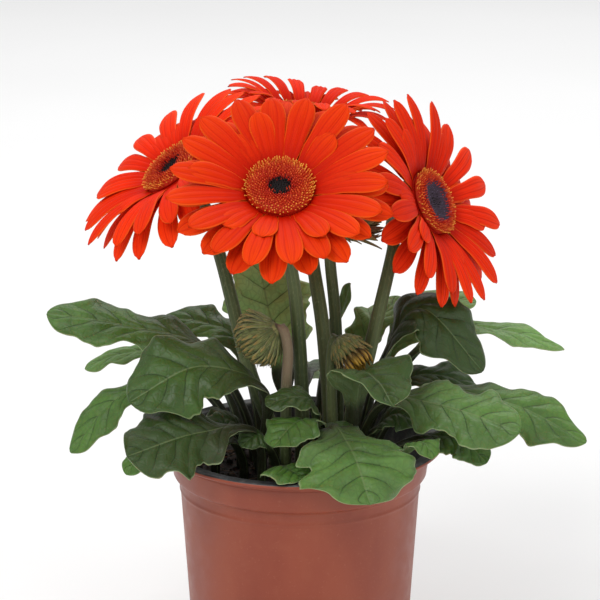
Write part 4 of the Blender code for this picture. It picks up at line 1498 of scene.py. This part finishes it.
@dataclass
class Disc:
    """The dome of florets in the middle of an open head."""

    head: Head
    radius: float = 13.9
    count: int = 560
    heart_stop: float = 0.42
    rim_from: float = 0.86
    reach: tuple[float, float] = (0.7, 0.9)
    shape: Profile = ((0.0, 1.5), (4.0, 1.7), (9.5, 2.5), (12.0, 2.0), (13.9, 0.6))

    def build(self) -> None:
        """Build the dome and set the florets by the golden turn."""
        head = self.head
        sheet = Sheet()
        rings = [13.6 - k * 1.3 for k in range(10)] + [0.4]
        sheet.turned([(0.4, 0.05), (13.3, 0.05)] + [(ring, between(self.shape, ring)) for ring in rings],
                     HEAD_SIDES)
        for vert in sheet.mesh.verts:
            out = math.hypot(vert.co.x, vert.co.y) / self.radius
            vert[sheet.tone] = 0.25 + 0.4 * ease(out, head.dark, head.dark + 0.15)
        for k in range(self.count):
            self.add_floret(sheet, k)
        sheet.move(head.matrix())
        finish = PLUM_FLORETS if head.dark > 0.5 else DARK_FLORETS
        settle(sheet.piece("gerbera_disc_" + head.name, finish), "disc", "disc_" + head.name)

    def add_floret(self, sheet: Sheet, k: int) -> None:
        """Add one floret: a bud in the heart, an open tube round it, a thin lip at the rim.

        Args:
            sheet: The mesh to add to.
            k: The floret's number, from the middle outwards.
        """
        seed, dark = self.head.seed, self.head.dark
        share = math.sqrt((k + 0.5) / self.count)
        radius, turn = (self.radius - 0.5) * share, GOLDEN_TURN * k
        ripe = ease(share, dark - 0.08, dark + 0.1)
        rim = ease(share, self.rim_from, 0.98)
        reach = self.reach[0] + self.reach[1] * ripe + rim * (0.1 + 0.9 * fraction(seed, 70, k))
        lean = 0.1 + 0.7 * share ** 3 + (0.15 + 0.3 * rim) * spread(seed, 71, k)
        swing = turn + 0.5 * spread(seed, 72, k)
        aim = Vector((lean * math.cos(swing), lean * math.sin(swing), 1.0)).normalized()
        spot = Vector((radius * math.cos(turn), radius * math.sin(turn), between(self.shape, radius) - 0.25))
        corners = sheet.spike(spot, aim, reach, (0.37 - 0.1 * ripe, 0.12 + 0.13 * ripe - 0.04 * rim), 5)
        stop = self.heart_stop
        tone = stop * share / dark if share < dark else stop + (1.0 - stop) * (share - dark) / (1.0 - dark)
        bright = fraction(seed, 74, k)
        for vert in corners:
            vert[sheet.tone] = min(1.0, max(0.0, tone + 0.12 * spread(seed, 73, k)))
            if (vert.co - spot).dot(aim) > 0.5 * reach:
                vert[sheet.under] = bright ** 1.3 * (1.0 - rim) + rim * (0.6 + 0.4 * bright)


@dataclass
class Tuft:
    """Narrow petals that still stand together in a young head."""

    head: Head
    name: str
    slot: str
    finish: Finish
    base: float
    length: float
    count: int
    half: float
    splay: float
    tone: float = 0.0
    thick: float = 0.4

    def build(self) -> None:
        """Build two rings of narrow straps round a small core."""
        sheet = Sheet()
        core = ((0.4, 0.4), (self.base - 0.8, 0.4), (self.base - 1.0, 0.35 * self.length),
                (0.4, 0.5 * self.length))
        sheet.turned(core, 24, self.head.matrix(), 0.5, 0.2, self.tone)
        for row in range(2):
            for k in range(self.count):
                self.add_strap(sheet, row, k)
        settle(sheet.piece("gerbera_" + self.name, self.finish), self.slot, self.name)

    def add_strap(self, sheet: Sheet, row: int, k: int) -> None:
        """Add one narrow petal.

        Args:
            sheet: The mesh to add to.
            row: Its ring, 0 outside.
            k: Its number in the ring.
        """
        seed = self.head.seed
        turn = math.tau * (k + 0.5 * row + 0.15 * spread(seed, row + 80, k)) / self.count
        out, around, forward = head_frame(self.head.axis, turn)
        reach = self.length * (0.8 + 0.2 * fraction(seed, row + 82, k)) * (1.0 - 0.12 * row)
        radius = self.base - 0.4 - 1.3 * row
        splay = self.splay * (0.6 + 0.8 * fraction(seed, row + 84, k))

        def path(share: float) -> tuple[Vector, Vector, Vector]:
            """Rise from the rim, swelling out and leaning in at the tip.

            Args:
                share: The share of the petal's length.

            Returns:
                The middle, the direction across and the direction outward.
            """
            bulge = splay * math.sin(math.pi * min(1.0, share * 0.9))
            point = Vector(self.head.centre) + forward * (0.4 + reach * share) + out * (radius + bulge)
            return point, around, out

        sheet.strap(path, lambda share: self.half * (0.75 + 0.5 * share - 1.15 * share ** 3), self.thick,
                    0.3, self.tone * fraction(seed, row + 86, k))


OPEN_HEADS = (
    Head("left", Stage.OPEN, (-53, 18, 217.5), (-0.59, -0.235, 0.762), (-10, -2),
         ((-21.7, 0, 137), (-33.4, 10, 182)), 1, 34.0, 12.0, -38.0, 0.3, 1.02, 8),
    Head("centre", Stage.OPEN, (-8, -32, 220.6), (0.0, -0.62, 0.78), (1, -11),
         ((0.5, -9, 135), (-2.5, -11, 175)), 2, 32.5, 14.0, -16.0, 0.26, 1.14, 8),
    Head("right", Stage.OPEN, (55, 13, 204), (0.81, -0.40, 0.42), (19, -4),
         ((29.1, -3, 145), (38.5, 5, 185)), 3, 33.0, 12.0, -28.0, 0.62, 1.0, 9),
    Head("back", Stage.OPEN, (3, 66, 231), (0.14, 0.04, 0.98), (13, 2),
         ((10.0, 3, 148), (5.0, 19, 180), (2.0, 53, 205)), 4, 27.0, 40.0, -36.0, 0.3, 0.72, 0),
)
HALF_OPEN = Head("half_open", Stage.HALF_OPEN, (23, 12, 194.5), (0.97, 0.05, 0.05), (16, 12),
                 ((15.2, 13, 149), (12.5, 14.5, 181)), 5)
NODDING = Head("nodding_bud", Stage.NODDING, (-22, -15, 150), (-0.80, 0.20, -0.55), (-6, -20),
               ((-5.6, -20, 134), (-5.0, -20.5, 151)), 6)
OPENING = Head("opening_bud", Stage.OPENING, (21, -17, 147), (0.55, -0.40, -0.65), (14, -16),
               ((13.0, -15, 130), (13.0, -13, 146)), 7)


def build_heads() -> None:
    """Build every head with its stem."""
    rays = {"left": SCARLET_RAYS, "centre": ORANGE_RAYS, "right": CRIMSON_RAYS, "back": CRIMSON_RAYS}
    for head in OPEN_HEADS:
        seat = head.matrix() @ Vector((0.0, 0.0, RING_LEVELS[0] - 0.3))
        Stem(head, CUP, (3.2, 2.5), seat, ((1.0, 9.5, 15), (4.0, 12.5, 17), (7.0, 15.0, 19)), 1.5,
             hair=90).build()
        Rays(head, rays[head.name]).build()
        Disc(head).build()
    Stem(HALF_OPEN, HALF_OPEN_CUP, (2.8, 2.3), Vector(HALF_OPEN.centre),
         ((0.8, 7.0, 9), (3.0, 12.0, 9), (5.0, 18.5, 9)), 1.9, 1.6, 60, point_tone=0.6).build()
    Stem(NODDING, NODDING_CUP, (2.4, 2.1), Vector(NODDING.centre),
         ((0.8, 8.0, 20), (2.6, 11.5, 24), (5.0, 15.0, 26), (8.0, 18.5, 22)), 0.8, 2.4, 700, 2.4,
         brown=0.85).build()
    Stem(OPENING, OPENING_CUP, (2.4, 2.1), Vector(OPENING.centre),
         ((0.8, 6.0, 18), (2.5, 9.5, 20), (4.5, 11.5, 20)), 0.7, 0.8, 200, 1.3).build()
    Tuft(HALF_OPEN, "rays_half_open", "young_petal", BractTissue(), 5.4, 12.0, 8, 1.3, 1.2, 1.0).build()
    Tuft(OPENING, "florets_opening_bud", "bud_floret", BudFloretTissue(), 5.8, 8.0, 15, 0.85, 0.9).build()


# Studio


@dataclass
class Studio:
    """A white floor, soft lights and the camera at the photograph's angle, in metres and degrees."""

    focal: float = 159.0
    sensor: float = 36.0
    distance: float = 1.1
    aim_height: float = 0.1655
    look_down: float = 15.5
    floor_half: float = 8.0
    room_strength: float = 0.56

    def build(self) -> None:
        """Lay the floor and set lights and camera."""
        bpy.context.scene.view_settings.view_transform = "Standard"
        self.lay_floor()
        self.set_world()
        self.add_light("key_softbox", (-0.9, -1.3, 1.8), (0.0, 0.0, 0.16), 1.0, 21.0)
        self.add_light("fill_softbox", (1.4, -1.4, 0.9), (0.0, 0.0, 0.15), 1.2, 7.0)
        self.add_light("top_softbox", (0.2, 1.1, 1.9), (0.0, 0.0, 0.16), 1.6, 20.0)
        self.set_camera()

    def lay_floor(self) -> None:
        """Lay the floor well past the view."""
        mesh = bmesh.new()
        bmesh.ops.create_grid(mesh, x_segments=1, y_segments=1, size=self.floor_half)
        data = bpy.data.meshes.new("studio_floor")
        mesh.to_mesh(data)
        mesh.free()
        data.materials.append(StudioPaper().material())
        floor = bpy.data.objects.new("studio_floor", data)
        bpy.context.scene.collection.objects.link(floor)

    def set_world(self) -> None:
        """Light the scene evenly from a white room."""
        world = bpy.data.worlds.new("white_room")
        world.use_nodes = True
        back = world.node_tree.nodes["Background"]
        back.inputs["Color"].default_value = linear("FFFFFF")
        back.inputs["Strength"].default_value = self.room_strength
        bpy.context.scene.world = world

    def add_light(self, name: str, place: Point, aim: Point, size: float, power: float) -> None:
        """Add a square softbox.

        Args:
            name: Its name.
            place: Where it hangs.
            aim: The point that it faces.
            size: The length of its side.
            power: Its power in watts.
        """
        lamp = bpy.data.lights.new(name, "AREA")
        lamp.shape = "SQUARE"
        lamp.size = size
        lamp.energy = power
        made = bpy.data.objects.new(name, lamp)
        made.location = place
        made.rotation_euler = (Vector(aim) - Vector(place)).to_track_quat("-Z", "Y").to_euler()
        bpy.context.scene.collection.objects.link(made)

    def set_camera(self) -> None:
        """Set the camera in front, looking a little down."""
        data = bpy.data.cameras.new("photo_camera")
        data.lens = self.focal
        data.sensor_width = self.sensor
        camera = bpy.data.objects.new("photo_camera", data)
        tip = math.radians(self.look_down)
        camera.location = (0.0, -self.distance * math.cos(tip),
                           self.aim_height + self.distance * math.sin(tip))
        camera.rotation_euler = (math.radians(90.0) - tip, 0.0, 0.0)
        bpy.context.scene.collection.objects.link(camera)
        bpy.context.scene.camera = camera


def main() -> None:
    """Load the frame, build every piece in order and note the sizes."""
    logging.basicConfig(level=logging.INFO, format="%(message)s")
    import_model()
    Studio().build()
    Pot().build()
    Soil().build()
    for leaf in LEAVES + INNER_LEAVES:
        leaf.build()
    build_heads()
    bpy.context.view_layer.update()


if __name__ == "__main__":
    main()
